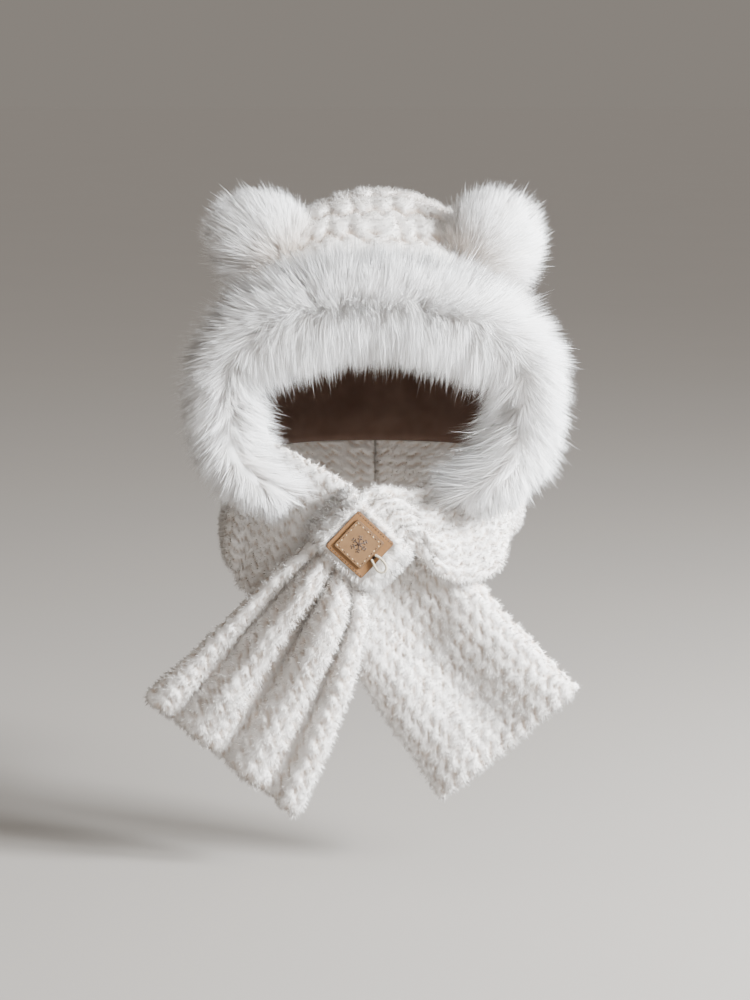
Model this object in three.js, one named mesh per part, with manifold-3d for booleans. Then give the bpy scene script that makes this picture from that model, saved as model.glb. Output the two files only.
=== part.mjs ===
// Animal hood scarf: a plush hood with a ring of long fur round the face, two fur ears, and a plush
// scarf that is sewn to the hood's hem, crosses in front through a keeper band and hangs in two tails.
// Millimetres, +Z up, the face looks along -Y, the origin lies inside the top of the crown.
import * as THREE from 'three';
import { ParametricGeometry } from 'three/addons/geometries/ParametricGeometry.js';
import { mergeVertices } from 'three/addons/utils/BufferGeometryUtils.js';
import Module from 'manifold-3d';

const wasm = await Module();
wasm.setup();

// Clearance between pieces that are sewn together
const seam = 0.3;

// Hood
const shellWall = 8;
const liningWall = 1.5;
const hoodHalfWidth = 138;
const hoodRise = 134;
const hoodFront = 118;
const hoodBack = 115;
const domeFullness = 1.8;
const frontFullness = 3;
const backFullness = 2.3;
const hemDepth = 210;
const hemNarrowing = 26;
const browForward = 100;
const cheekForward = 72;
const liningRecess = 3;
const liningDrop = 22;
const collarClearance = 2.6;
const skirtRecess = 16;

// Fur ring
const trimBelowCrown = 93;
const trimOverhang = 17;
const trimBrowReach = 40;
const trimCheekReach = 27;
const trimEndReach = 20;
const trimPile = 34;
const trimEndDrop = 44;
const trimLock = 9;
const ringRoundness = 2.5;

// Ears
const earRadius = 42;
const earThickness = 50;
const earForward = 57;
const earStand = 5;
const earLeftAngle = 46.5;
const earRightAngle = 47.5;
const earLock = 7;

// Scarf
const scarfWidth = 155;
const scarfPile = 13;
const crossForward = 92;
const keeperSide = 13;
const keeperBelowHem = 82;
const leftPleat = 4.5;
const rightFold = 4;
const pleatCount = 4;

// Keeper band and label
const keeperAngle = 46;
const bundleHalfWidth = 27;
const bundleDepth = 27;
const keeperClearance = 3.5;
const keeperWall = 9;
const keeperWidth = 50;
const labelSide = 42;
const labelLeather = 1.6;
const labelCorner = 2;
const labelTurn = 43;
const patchLength = 31;
const patchWidth = 30.5;
const patchLeather = 1.2;
const patchShift = 0.9;

// Cord loop
const cordDiameter = 2.1;
const cordSides = 8;
const cordSteps = 26;

// Grid counts of the free forms: how many cells round or across a form, and how many along it
const bodyGrid = { round: 34, rows: 15, sideRows: 4 };
const trimGrid = { round: 12, along: 44 };
const earGrid = { round: 12, rings: 9 };
const plainGrid = { across: 9, along: 28 };
const pleatedGrid = { across: 17, along: 28 };

// Levels that follow from the sizes
const crownTop = shellWall + seam + liningWall;
const widestZ = crownTop - hoodRise;
const hemZ = -(hemDepth - crownTop);
const neckZ = hemZ - (hoodHalfWidth - hoodFront) * 2;
const keeperX = -keeperSide;
const keeperZ = hemZ - keeperBelowHem;
const browZ = widestZ + hoodRise * 0.47;
const rimSlope = (browForward - cheekForward) / (browZ - hemZ);

const shade = (color, roughness) => new THREE.MeshStandardMaterial({ color, roughness, metalness: 0 });
const plush = shade('#e4e0d9', 0.95);
const longFur = shade('#ece9e4', 0.9);
const lining = shade('#3d2a20', 0.8);
const leather = shade('#b98a55', 0.6);
const cordCotton = shade('#d8cfbe', 0.9);

const smooth = (t) => {
  const c = Math.min(1, Math.max(0, t));
  return c * c * (3 - 2 * c);
};
const signedPower = (base, power) => Math.sign(base) * Math.abs(base) ** power;
const lerp = THREE.MathUtils.lerp;
const radians = THREE.MathUtils.degToRad;

/** Keeps only positions, merges them and drops the triangles that a pole or a closed edge flattened. */
function welded(geometry) {
  geometry.deleteAttribute('normal');
  geometry.deleteAttribute('uv');
  const merged = mergeVertices(geometry, 1e-4);
  const index = [...merged.index.array];
  const kept = [];
  for (let i = 0; i < index.length; i += 3) {
    const [a, b, c] = index.slice(i, i + 3);
    if (a !== b && b !== c && c !== a) kept.push(a, b, c);
  }
  merged.setIndex(kept);
  return merged;
}

/** A closed surface from a function of u, which runs round it, and v, which runs along it. */
function closedForm(pointAt, around, along) {
  return welded(new ParametricGeometry(pointAt, around, along));
}

/** How long one lock of fur is beside its neighbours. */
const lockVariety = (u, v) => 1 + 0.3 * Math.sin(u * 61 + v * 97) + 0.15 * Math.sin(u * 23 - v * 151);

/** A closed surface of fur: each cell of the grid rises to a lock, moved from its middle by lockAt. */
function furredForm(pointAt, lockAt, around, along) {
  const positions = [];
  const corner = new THREE.Vector3();
  const addPoint = (u, v) => {
    pointAt(u % 1, v, corner);
    positions.push(corner.x, corner.y, corner.z);
  };
  for (let j = 0; j < along; j += 1) {
    for (let i = 0; i < around; i += 1) {
      const us = [i, i + 1, i + 1, i].map((k) => k / around);
      const vs = [j, j, j + 1, j + 1].map((k) => k / along);
      const apex = new THREE.Vector3();
      us.forEach((u, k) => {
        pointAt(u % 1, vs[k], corner);
        apex.addScaledVector(corner, 0.25);
      });
      const [u, v] = [(i + 0.5) / around, (j + 0.5) / along];
      apex.addScaledVector(lockAt(u, v), lockVariety(u, v));
      for (let k = 0; k < 4; k += 1) {
        addPoint(us[k], vs[k]);
        addPoint(us[(k + 1) % 4], vs[(k + 1) % 4]);
        positions.push(apex.x, apex.y, apex.z);
      }
    }
  }
  const geometry = new THREE.BufferGeometry();
  geometry.setAttribute('position', new THREE.Float32BufferAttribute(positions, 3));
  return welded(geometry);
}

/** A manifold solid of a closed welded geometry, turned outwards if it came inside out. */
function solidOf(geometry) {
  const source = geometry.attributes.normal || !geometry.index ? welded(geometry) : geometry;
  const vertProperties = new Float32Array(source.attributes.position.array);
  const triVerts = new Uint32Array(source.index.array);
  const signed = signedVolume(vertProperties, triVerts);
  if (signed < 0) {
    for (let i = 0; i < triVerts.length; i += 3) {
      [triVerts[i], triVerts[i + 1]] = [triVerts[i + 1], triVerts[i]];
    }
  }
  return new wasm.Manifold(new wasm.Mesh({ numProp: 3, vertProperties, triVerts }));
}

/** The volume inside a triangle mesh, negative if its faces point inwards. */
function signedVolume(positions, triangles) {
  const corners = [0, 1, 2].map(() => new THREE.Vector3());
  let total = 0;
  for (let i = 0; i < triangles.length; i += 3) {
    corners.forEach((corner, k) => corner.fromArray(positions, triangles[i + k] * 3));
    total += corners[0].dot(corners[1].clone().cross(corners[2]));
  }
  return total / 6;
}

/** The named mesh of a manifold solid. */
function pieceOf(name, solid, material) {
  const { vertProperties, triVerts } = solid.getMesh();
  const geometry = new THREE.BufferGeometry();
  geometry.setAttribute('position', new THREE.Float32BufferAttribute(vertProperties, 3));
  geometry.setIndex([...triVerts]);
  geometry.computeVertexNormals();
  const mesh = new THREE.Mesh(geometry, material);
  mesh.name = name;
  return mesh;
}

/** How wide the hood is at a height, as a share of its widest, for the surface that lies inset deep. */
function hoodShare(z, inset) {
  if (z > widestZ) {
    const up = Math.min(1, (z - widestZ) / (hoodRise - inset));
    return (1 - up ** domeFullness) ** (1 / domeFullness);
  }
  const down = smooth((widestZ - z) / (widestZ - neckZ));
  return 1 - (hemNarrowing / hoodHalfWidth) * down;
}

/** Half of the hood's size at a height towards one side, inset deep in the wall. */
function hoodReach(full, z, inset) {
  const share = hoodShare(z, inset);
  return z > widestZ ? (full - inset) * share : full * share - inset;
}

/** A point of the hood at a turn from the nape (half a turn is the face) and a height. */
function hoodPoint(turn, z, inset, target = new THREE.Vector3()) {
  const [depth, fullness] = Math.cos(turn) > 0 ? [hoodBack, backFullness] : [hoodFront, frontFullness];
  const side = signedPower(Math.sin(turn), 2 / fullness);
  const back = signedPower(Math.cos(turn), 2 / fullness);
  return target.set(hoodReach(hoodHalfWidth, z, inset) * side, hoodReach(depth, z, inset) * back, z);
}

/** The hood's closed body, inset deep, from a flat bottom up to its crown. */
function hoodBody(inset, bottomZ) {
  const { round, rows, sideRows } = bodyGrid;
  const top = hoodRise - inset;
  return solidOf(closedForm((u, v, target) => {
    const row = Math.round(v * rows) - 1;
    if (row < 0) return target.set(0, 0, bottomZ);
    const climb = (row - sideRows) / (rows - 1 - sideRows);
    const z = row < sideRows
      ? lerp(bottomZ, widestZ, row / sideRows)
      : widestZ + top * Math.sin(climb * Math.PI / 2) ** (2 / domeFullness);
    if (row === rows - 1) return target.set(0, 0, widestZ + top);
    return hoodPoint(u * 2 * Math.PI, z, inset, target);
  }, round, rows));
}

/** Where the plane of the face opening lies at a height: the brow stands further forward than the chin. */
const rimY = (z) => -(cheekForward + rimSlope * (z - hemZ));

/** A block that takes away all that lies in front of the face opening, moved back by recess. */
function faceCut(recess) {
  const size = hoodHalfWidth * 4;
  const block = new THREE.BoxGeometry(size, size, size);
  block.translate(0, -size / 2, 0);
  block.rotateX(Math.atan(rimSlope));
  block.translate(0, rimY(widestZ) + recess, widestZ);
  return solidOf(block);
}

function hoodShell() {
  return hoodBody(0, hemZ).subtract(hoodBody(shellWall, hemZ - shellWall)).subtract(faceCut(0));
}

/** The part of the hood's body between two depths and two heights. */
function bodyRing(outer, inner, bottomZ, topZ) {
  const size = hoodHalfWidth * 4;
  const above = new THREE.BoxGeometry(size, size, size);
  above.translate(0, 0, topZ + size / 2);
  return hoodBody(outer, bottomZ).subtract(hoodBody(inner, bottomZ - seam)).subtract(solidOf(above));
}

/** The lining, whose lower edge steps in past the collar's soft edge and hangs inside the collar. */
function hoodLining() {
  const outer = shellWall + seam;
  const skirt = outer + collarClearance;
  const skirtTop = hemZ + liningRecess * 3;
  return hoodBody(outer, hemZ + liningRecess)
    .subtract(hoodBody(outer + liningWall, hemZ - shellWall))
    .subtract(faceCut(liningRecess))
    .add(bodyRing(outer + liningWall / 2, skirt + liningWall, hemZ + liningRecess, skirtTop)
      .add(bodyRing(skirt, skirt + liningWall, hemZ - liningDrop, skirtTop))
      .subtract(faceCut(skirtRecess)));
}

/** How far the face opening's edge lies from the middle plane at a height. */
function rimHalfWidth(z) {
  const depthShare = Math.abs(rimY(z)) / hoodReach(hoodFront, z, 0);
  return hoodReach(hoodHalfWidth, z, 0) * (1 - depthShare ** frontFullness) ** (1 / frontFullness);
}

const ringCentreZ = (widestZ + hemZ) / 2;
const ringHalfWidth = rimHalfWidth(widestZ) + trimOverhang;
const ringEndTurn = radians(148);
const ringRise = crownTop - trimBelowCrown - ringCentreZ;
const ringFall = (ringCentreZ - hemZ + trimEndDrop) / Math.abs(Math.cos(ringEndTurn)) ** (2 / ringRoundness);
const collarFrontY = -(crossForward + scarfPile / 2 + seam);

/** The ring's backing line at a turn from its top towards +X. */
function ringPoint(turn) {
  const up = signedPower(Math.cos(turn), 2 / ringRoundness);
  const side = signedPower(Math.sin(turn), 2 / ringRoundness);
  return new THREE.Vector3(ringHalfWidth * side, 0, ringCentreZ + (up > 0 ? ringRise : ringFall) * up);
}

/** Where the ring's backing runs at share v, which way is outwards there, and how far its fur reaches. */
function trimStation(v) {
  const turn = lerp(-ringEndTurn, ringEndTurn, v);
  const brow = smooth(1 - Math.abs(turn) / radians(80));
  const end = smooth((Math.abs(turn) - radians(95)) / radians(45));
  const along = ringPoint(turn + 0.02).sub(ringPoint(turn - 0.02)).normalize();
  return {
    out: new THREE.Vector3(-along.z, 0, along.x),
    centre: ringPoint(turn),
    reach: lerp(lerp(trimCheekReach, trimBrowReach, brow), trimEndReach, end),
  };
}

/** The furthest back that the ring may reach: the hood's edge, and below the hem the collar's front. */
function trimBackY(z) {
  const below = smooth((hemZ + trimEndDrop * 0.45 - z) / (trimEndDrop * 1.35));
  return lerp(rimY(z) - seam, Math.min(rimY(z) - seam, collarFrontY + scarfPile * 0.2), below);
}

/** How full the ring is near its two ends, where it closes in a round tip. */
const tipShare = (v) => Math.sqrt(Math.max(0, 1 - Math.abs(2 * v - 1) ** 14));

function trimPoint(u, v, target) {
  const { out, centre, reach } = trimStation(v);
  const angle = u * 2 * Math.PI;
  const full = tipShare(v);
  target.copy(centre).addScaledVector(out, reach * full * Math.cos(angle));
  const back = trimBackY(target.z);
  const lift = Math.sin(angle);
  const middle = back - trimPile * 0.35;
  return target.setY(lift > 0 ? middle - trimPile * lift * full : Math.min(back, middle - trimPile * lift));
}

/** A lock leans away from the parting along the ring's front, and the flat backing has none. */
function trimLockAt(u, v) {
  const { out } = trimStation(v);
  const angle = u * 2 * Math.PI;
  const lift = Math.sin(angle);
  if (lift < -0.3) return new THREE.Vector3();
  const size = trimLock * tipShare(v);
  const aside = out.clone().multiplyScalar(size * Math.cos(angle) * 1.2);
  return aside.add(new THREE.Vector3(0, -size * 0.7 * lift, 0));
}

function furTrim() {
  return solidOf(furredForm(trimPoint, trimLockAt, trimGrid.round, trimGrid.along));
}

/** The middle of an ear, on the hood's outline at an angle from upright. */
function earCentre(angle) {
  const turn = radians(angle);
  const reach = ((Math.abs(Math.sin(turn)) / hoodHalfWidth) ** domeFullness
    + (Math.cos(turn) / hoodRise) ** domeFullness) ** (-1 / domeFullness);
  const distance = reach + earStand;
  return new THREE.Vector3(distance * Math.sin(turn), -earForward, widestZ + distance * Math.cos(turn));
}

/** One ear: a thick round tuft whose locks spread from where it is sewn to the hood. */
function furEar(angle) {
  const centre = earCentre(angle);
  const pointAt = (u, v, target) => {
    const polar = v * Math.PI;
    const turn = u * 2 * Math.PI;
    return target.set(
      centre.x + earRadius * Math.sin(polar) * Math.cos(turn),
      centre.y - (earThickness / 2) * Math.cos(polar),
      centre.z + earRadius * Math.sin(polar) * Math.sin(turn),
    );
  };
  const root = centre.clone().multiplyScalar(0.9).setY(centre.y);
  const lockAt = (u, v) => {
    const tip = pointAt(u, v, new THREE.Vector3());
    return tip.sub(root).normalize().multiplyScalar(earLock);
  };
  const tuft = solidOf(furredForm(pointAt, lockAt, earGrid.round, earGrid.rings));
  return tuft.subtract(hoodBody(-seam, hemZ));
}

// The collar's sections along the hem. turn: degrees from the nape; flare, tuck and drop: how far the
// belly stands out, the lower edge lies within it and hangs down, in shares of the scarf's width.
const leftCollar = [
  { turn: 0, flare: 0.05, tuck: 0.02, drop: 0.60 },
  { turn: 30, flare: 0.07, tuck: 0.02, drop: 0.60 },
  { turn: 60, flare: 0.10, tuck: 0.03, drop: 0.60 },
  { turn: 88, flare: 0.14, tuck: 0.05, drop: 0.64 },
  { turn: 108, flare: 0.17, tuck: 0.06, drop: 0.70 },
  { turn: 118, flare: 0.17, tuck: 0.06, drop: 0.75 },
];
const rightCollar = [
  { turn: 0, flare: 0.05, tuck: 0.02, drop: 0.60 },
  { turn: 30, flare: 0.06, tuck: 0.02, drop: 0.59 },
  { turn: 60, flare: 0.07, tuck: 0.03, drop: 0.56 },
  { turn: 88, flare: 0.08, tuck: 0.04, drop: 0.54 },
  { turn: 108, flare: 0.09, tuck: 0.04, drop: 0.54 },
  { turn: 118, flare: 0.09, tuck: 0.04, drop: 0.57 },
];

// The sections past the hem, from the keeper's middle in shares of the scarf's width: the upper edge at
// ux, uz and the lower edge at lx, lz, with their depths uy and ly behind (+) or before (-) the crossing.
const leftRun = [
  { ux: -0.43, uy: 0.12, uz: 0.48, lx: -0.66, ly: 0.14, lz: -0.31, pile: 1, fold: 0 },
  { ux: -0.22, uy: 0.06, uz: 0.36, lx: -0.46, ly: 0.03, lz: -0.38, pile: 1, fold: 0 },
  { ux: -0.02, uy: 0.01, uz: 0.25, lx: -0.26, ly: 0, lz: -0.46, pile: 1, fold: 0 },
  { ux: 0.22, uy: 0, uz: 0.13, lx: -0.14, ly: 0, lz: -0.55, pile: 1, fold: 0 },
  { ux: 0.38, uy: 0.04, uz: -0.01, lx: -0.09, ly: 0, lz: -0.64, pile: 1, fold: 0.2 },
  { ux: 0.49, uy: 0.06, uz: -0.14, lx: -0.04, ly: 0, lz: -0.73, pile: 1, fold: 0.6 },
  { ux: 0.85, uy: 0.03, uz: -0.50, lx: 0.20, ly: -0.02, lz: -1.09, pile: 1, fold: 1 },
  { ux: 1.21, uy: -0.04, uz: -0.86, lx: 0.46, ly: -0.06, lz: -1.48, pile: 1, fold: 1 },
];
const rightRun = [
  { ux: 0.60, uy: 0.12, uz: 0.47, lx: 0.78, ly: 0.04, lz: -0.18, pile: 1, fold: 0 },
  { ux: 0.46, uy: 0.06, uz: 0.35, lx: 0.57, ly: -0.08, lz: -0.23, pile: 1, fold: 0.2 },
  { ux: 0.27, uy: -0.05, uz: 0.26, lx: 0.42, ly: -0.14, lz: -0.16, pile: 1.05, fold: 0.6 },
  { ux: 0.055, uy: -0.125, uz: 0.277, lx: 0.285, ly: -0.145, lz: 0.05, pile: 1.1, fold: 0.7 },
  { ux: -0.12, uy: -0.14, uz: 0.125, lx: 0.12, ly: -0.145, lz: -0.125, pile: 1.1, fold: 0.7 },
  { ux: -0.235, uy: -0.14, uz: 0.005, lx: -0.005, ly: -0.145, lz: -0.235, pile: 1.1, fold: 0.8 },
  { ux: -0.48, uy: -0.14, uz: -0.19, lx: 0.03, ly: -0.15, lz: -0.45, pile: 1.1, fold: 1.6 },
  { ux: -0.72, uy: -0.12, uz: -0.43, lx: -0.05, ly: -0.14, lz: -0.77, pile: 1, fold: 1.6 },
  { ux: -0.95, uy: -0.10, uz: -0.67, lx: -0.19, ly: -0.13, lz: -1.15, pile: 1, fold: 1.3 },
  { ux: -1.18, uy: -0.09, uz: -0.90, lx: -0.37, ly: -0.12, lz: -1.56, pile: 1, fold: 1 },
];

/** The edges and sizes of a scarf half's sections, from the nape to the end of its tail. */
function scarfSections(hand, collar, run, foldHeight) {
  const alongHem = collar.map(({ turn, flare, tuck, drop }) => {
    const upper = hoodPoint(hand * radians(turn), hemZ - seam * 2, shellWall / 2);
    const out = upper.clone().setZ(0).normalize().multiplyScalar(scarfWidth);
    const waist = upper.clone().setZ(hemZ - drop * scarfWidth * 0.35);
    const belly = upper.clone().addScaledVector(out, flare).setZ(hemZ - drop * scarfWidth * 0.75);
    const lower = upper.clone().addScaledVector(out, flare - tuck).setZ(hemZ - drop * scarfWidth);
    if (turn === 0) [upper, waist, belly, lower].forEach((edge) => edge.setX(hand * seam));
    return { upper, waist, belly, lower, pile: scarfPile, fold: 0 };
  });
  const free = run.map(({ ux, uy, uz, lx, ly, lz, pile, fold }) => {
    const place = (x, y, z) => new THREE.Vector3(
      keeperX + x * scarfWidth,
      y * scarfWidth - crossForward,
      keeperZ + z * scarfWidth,
    );
    const upper = place(ux, uy, uz);
    const lower = place(lx, ly, lz);
    const [waist, belly] = [1 / 3, 2 / 3].map((share) => upper.clone().lerp(lower, share));
    return { upper, waist, belly, lower, pile: pile * scarfPile, fold: fold * foldHeight };
  });
  return [...alongHem, ...free];
}

/** One half of the scarf: a plush strip that closes to a soft edge all round, with folds along it. */
function scarfHalf(hand, collar, run, foldHeight, folds, grid) {
  const sections = scarfSections(hand, collar, run, foldHeight);
  const curveOf = (key) => new THREE.CatmullRomCurve3(sections.map((s) => s[key]), false, 'catmullrom', 0.5);
  const [upper, waist, belly, lower] = ['upper', 'waist', 'belly', 'lower'].map(curveOf);
  const sizeAt = (key, s) => {
    const place = s * (sections.length - 1);
    const low = Math.min(Math.floor(place), sections.length - 2);
    return lerp(sections[low][key], sections[low + 1][key], smooth(place - low));
  };
  const middleAt = (s, q) => {
    const t = (q + 1) / 2;
    return upper.getPoint(s).multiplyScalar((1 - t) ** 3)
      .addScaledVector(waist.getPoint(s), 3 * t * (1 - t) ** 2)
      .addScaledVector(belly.getPoint(s), 3 * t ** 2 * (1 - t))
      .addScaledVector(lower.getPoint(s), t ** 3);
  };
  const normalAt = (s, q) => {
    const step = 1e-3;
    const [before, after] = [Math.max(0, s - step), Math.min(1, s + step)];
    const along3 = middleAt(after, q).sub(middleAt(before, q));
    const across3 = middleAt(s, Math.min(1, q + step)).sub(middleAt(s, Math.max(-1, q - step)));
    return along3.cross(across3).normalize().multiplyScalar(hand);
  };
  const pointAt = (u, v, target) => {
    const front = u <= 0.5;
    const turn = front ? u * 2 : 2 - u * 2;
    const q = Math.sin((turn - 0.5) * Math.PI);
    const s = 0.5 + 0.5 * Math.sin((v - 0.5) * Math.PI) * 0.3 + (v - 0.5) * 0.7;
    const sideRound = Math.sqrt(Math.max(0, 1 - Math.abs(q) ** 5));
    const endRound = Math.sqrt(Math.max(0, 1 - Math.abs(2 * v - 1) ** 16));
    const round = sideRound * endRound;
    const fold = sizeAt('fold', s) * Math.sin(folds * Math.PI * (q + 1) + Math.PI / 2) * (1 - q ** 6);
    const half = (sizeAt('pile', s) / 2) * round * (front ? 1 : -1);
    return target.copy(middleAt(s, q)).addScaledVector(normalAt(s, q), fold + half);
  };
  return solidOf(closedForm(pointAt, grid.across * 2, grid.along));
}

/** A frame of axes on the front of the keeper: x across the band, y along it, z towards the viewer. */
function keeperFrame(turn, y) {
  const across = new THREE.Vector3(Math.cos(radians(turn)), 0, -Math.sin(radians(turn)));
  const out = new THREE.Vector3(0, -1, 0);
  const along = out.clone().cross(across);
  return new THREE.Matrix4().makeBasis(across, along, out).setPosition(keeperX, y, keeperZ);
}

/** The arch of the band as seen along the gathered scarf, offset by wall from the gathered cloth. */
function archPoints(wall) {
  const half = bundleHalfWidth + keeperClearance + wall;
  const height = bundleDepth + wall;
  const points = [];
  const steps = 14;
  for (let i = 0; i <= steps; i += 1) {
    const angle = (i / steps) * Math.PI;
    points.push(new THREE.Vector2(
      half * signedPower(Math.cos(angle), 0.5),
      height * signedPower(Math.sin(angle), 0.5),
    ));
  }
  return points;
}

function keeperBand() {
  const bevel = 2.5;
  const outline = new THREE.Shape([...archPoints(keeperWall), ...archPoints(0).reverse()]);
  const band = new THREE.ExtrudeGeometry(outline, {
    depth: keeperWidth - bevel * 2,
    bevelThickness: bevel,
    bevelSize: bevel,
    bevelOffset: -bevel,
    bevelSegments: 1,
  });
  band.translate(0, 0, bevel - keeperWidth / 2);
  band.rotateX(Math.PI / 2);
  band.applyMatrix4(keeperFrame(keeperAngle, collarFrontY - seam));
  return solidOf(band);
}

const keeperFaceY = collarFrontY - seam - bundleDepth - keeperWall;

/** A leather rectangle with round corners, whose back lies at a depth. */
function leatherPiece(length, width, thickness, backY, shift) {
  const [x, y] = [length / 2, width / 2];
  const outline = new THREE.Shape();
  outline.moveTo(-x + labelCorner, -y);
  outline.lineTo(x - labelCorner, -y);
  outline.absarc(x - labelCorner, -y + labelCorner, labelCorner, -Math.PI / 2, 0);
  outline.lineTo(x, y - labelCorner);
  outline.absarc(x - labelCorner, y - labelCorner, labelCorner, 0, Math.PI / 2);
  outline.lineTo(-x + labelCorner, y);
  outline.absarc(-x + labelCorner, y - labelCorner, labelCorner, Math.PI / 2, Math.PI);
  outline.lineTo(-x, -y + labelCorner);
  outline.absarc(-x + labelCorner, -y + labelCorner, labelCorner, Math.PI, Math.PI * 1.5);
  const options = { depth: thickness, bevelEnabled: false, curveSegments: 4 };
  const sheet = new THREE.ExtrudeGeometry(outline, options);
  sheet.translate(-shift, 0, 0);
  sheet.applyMatrix4(keeperFrame(labelTurn, backY));
  return solidOf(sheet);
}

const labelBackY = keeperFaceY - seam;
const labelFaceY = labelBackY - labelLeather;
const patchBackY = labelFaceY - seam;

// The cord's route in the label's own plane: across and along it, and height above its face.
const cordRoute = [
  [15.6, 2.4, 1.3], [17.5, 3.2, 1.4], [20.0, 3.6, 1.7], [23.0, 3.6, 2.2], [26.0, 3.2, 2.8],
  [28.6, 2.2, 3.2], [30.4, 0.4, 3.4], [30.9, -1.8, 3.5], [30.0, -3.9, 3.4], [28.0, -5.3, 3.1],
  [25.3, -5.6, 2.7], [22.5, -4.9, 2.1], [20.0, -4.0, 1.7], [17.6, -3.1, 1.4], [15.6, -2.4, 1.3],
];

function cordLoop() {
  const place = keeperFrame(labelTurn, labelFaceY);
  const points = cordRoute.map(([x, y, z]) => new THREE.Vector3(x, y, z).applyMatrix4(place));
  const section = new THREE.Shape();
  for (let i = 0; i < cordSides; i += 1) {
    const angle = (i / cordSides) * 2 * Math.PI;
    const [x, y] = [Math.cos(angle), Math.sin(angle)].map((c) => c * cordDiameter / 2);
    if (i === 0) section.moveTo(x, y);
    else section.lineTo(x, y);
  }
  const path = new THREE.CatmullRomCurve3(points, false, 'catmullrom', 0.5);
  return solidOf(new THREE.ExtrudeGeometry(section, { steps: cordSteps, extrudePath: path }));
}

const hood = new THREE.Group();
hood.add(pieceOf('hood_shell', hoodShell(), plush));
hood.add(pieceOf('hood_lining', hoodLining(), lining));
hood.add(pieceOf('fur_trim', furTrim(), longFur));
hood.add(pieceOf('ear_left', furEar(-earLeftAngle), longFur));
hood.add(pieceOf('ear_right', furEar(earRightAngle), longFur));

const scarf = new THREE.Group();
const leftHalf = scarfHalf(-1, leftCollar, leftRun, rightFold, 1, plainGrid);
const rightHalf = scarfHalf(1, rightCollar, rightRun, leftPleat, pleatCount, pleatedGrid);
scarf.add(pieceOf('scarf_left_half', leftHalf, plush));
scarf.add(pieceOf('scarf_right_half', rightHalf, plush));
scarf.add(pieceOf('keeper_band', keeperBand(), plush));

const label = new THREE.Group();
label.add(pieceOf('label_base', leatherPiece(labelSide, labelSide, labelLeather, labelBackY, 0), leather));
const patch = leatherPiece(patchLength, patchWidth, patchLeather, patchBackY, patchShift);
label.add(pieceOf('label_patch', patch, leather));
label.add(pieceOf('cord_loop', cordLoop(), cordCotton));

const hoodScarf = new THREE.Group();
hoodScarf.add(hood, scarf, label);

export default hoodScarf;
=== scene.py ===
"""Plush animal hood with fur ears, a fur ring round the face, and a scarf crossed through a keeper band.

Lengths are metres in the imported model's frame: +Z up, the face looks along -Y, +X is the viewer's right.
"""

import logging
import math
from dataclasses import dataclass, field, replace
from enum import Enum
from typing import Any, Dict, List, NamedTuple, Optional, Sequence, Tuple, Union

import bpy
import numpy as np
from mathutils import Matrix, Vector


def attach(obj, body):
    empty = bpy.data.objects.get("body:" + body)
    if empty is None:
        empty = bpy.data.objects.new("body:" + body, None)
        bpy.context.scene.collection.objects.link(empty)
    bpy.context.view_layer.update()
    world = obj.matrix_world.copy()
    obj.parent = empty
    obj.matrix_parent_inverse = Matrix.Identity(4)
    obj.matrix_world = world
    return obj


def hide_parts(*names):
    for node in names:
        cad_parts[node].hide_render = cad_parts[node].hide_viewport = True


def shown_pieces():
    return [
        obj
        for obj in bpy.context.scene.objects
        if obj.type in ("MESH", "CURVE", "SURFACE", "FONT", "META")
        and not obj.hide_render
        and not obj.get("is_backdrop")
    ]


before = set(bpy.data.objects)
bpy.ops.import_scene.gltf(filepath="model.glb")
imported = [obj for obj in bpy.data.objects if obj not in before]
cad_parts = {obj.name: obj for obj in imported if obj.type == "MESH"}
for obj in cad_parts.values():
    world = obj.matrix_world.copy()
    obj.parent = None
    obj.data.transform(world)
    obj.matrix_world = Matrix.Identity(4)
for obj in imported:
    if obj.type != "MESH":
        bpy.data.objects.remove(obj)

log = logging.getLogger("hood_scarf")

Array = np.ndarray
Colour = Tuple[float, float, float]
Term = Union["Socket", float]

MM = 0.001
SEAM = 0.0003
SHELL_WALL = 0.008
LINING_WALL = 0.0015
HOOD_HALF_WIDTH = 0.138
HOOD_RISE = 0.134
HOOD_FRONT = 0.118
HOOD_BACK = 0.115
DOME_FULLNESS = 1.8
FRONT_FULLNESS = 3.0
BACK_FULLNESS = 2.3
HEM_DEPTH = 0.210
HEM_NARROWING = 0.026
BROW_FORWARD = 0.100
CHEEK_FORWARD = 0.072
LINING_RECESS = 0.003
LINING_DROP = 0.022
COLLAR_CLEARANCE = 0.0026
SKIRT_RECESS = 0.016
PLUSH_DEPTH = 0.002

TRIM_BELOW_CROWN = 0.093
TRIM_OVERHANG = 0.017
TRIM_BROW_REACH = 0.040
TRIM_CHEEK_REACH = 0.027
TRIM_END_REACH = 0.020
TRIM_PILE = 0.034
TRIM_END_DROP = 0.044
RING_ROUNDNESS = 2.5

EAR_FORWARD = 0.057
EAR_STAND = 0.005

SCARF_WIDTH = 0.155
SCARF_PILE = 0.013
CROSS_FORWARD = 0.092
KEEPER_BELOW_HEM = 0.082
LEFT_PLEAT = 0.0045
RIGHT_FOLD = 0.004
KEEPER_ANGLE = 46.0
BUNDLE_HALF_WIDTH = 0.027
BUNDLE_DEPTH = 0.027
KEEPER_CLEARANCE = 0.0035
KEEPER_WALL = 0.009
KEEPER_WIDTH = 0.050
LABEL_SIDE = 0.042
LABEL_LEATHER = 0.0016
LABEL_TURN = 43.0
PATCH_LENGTH = 0.031
PATCH_WIDTH = 0.0305
PATCH_LEATHER = 0.0012
PATCH_SHIFT = 0.0009
CORD_DIAMETER = 0.0021

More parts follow.
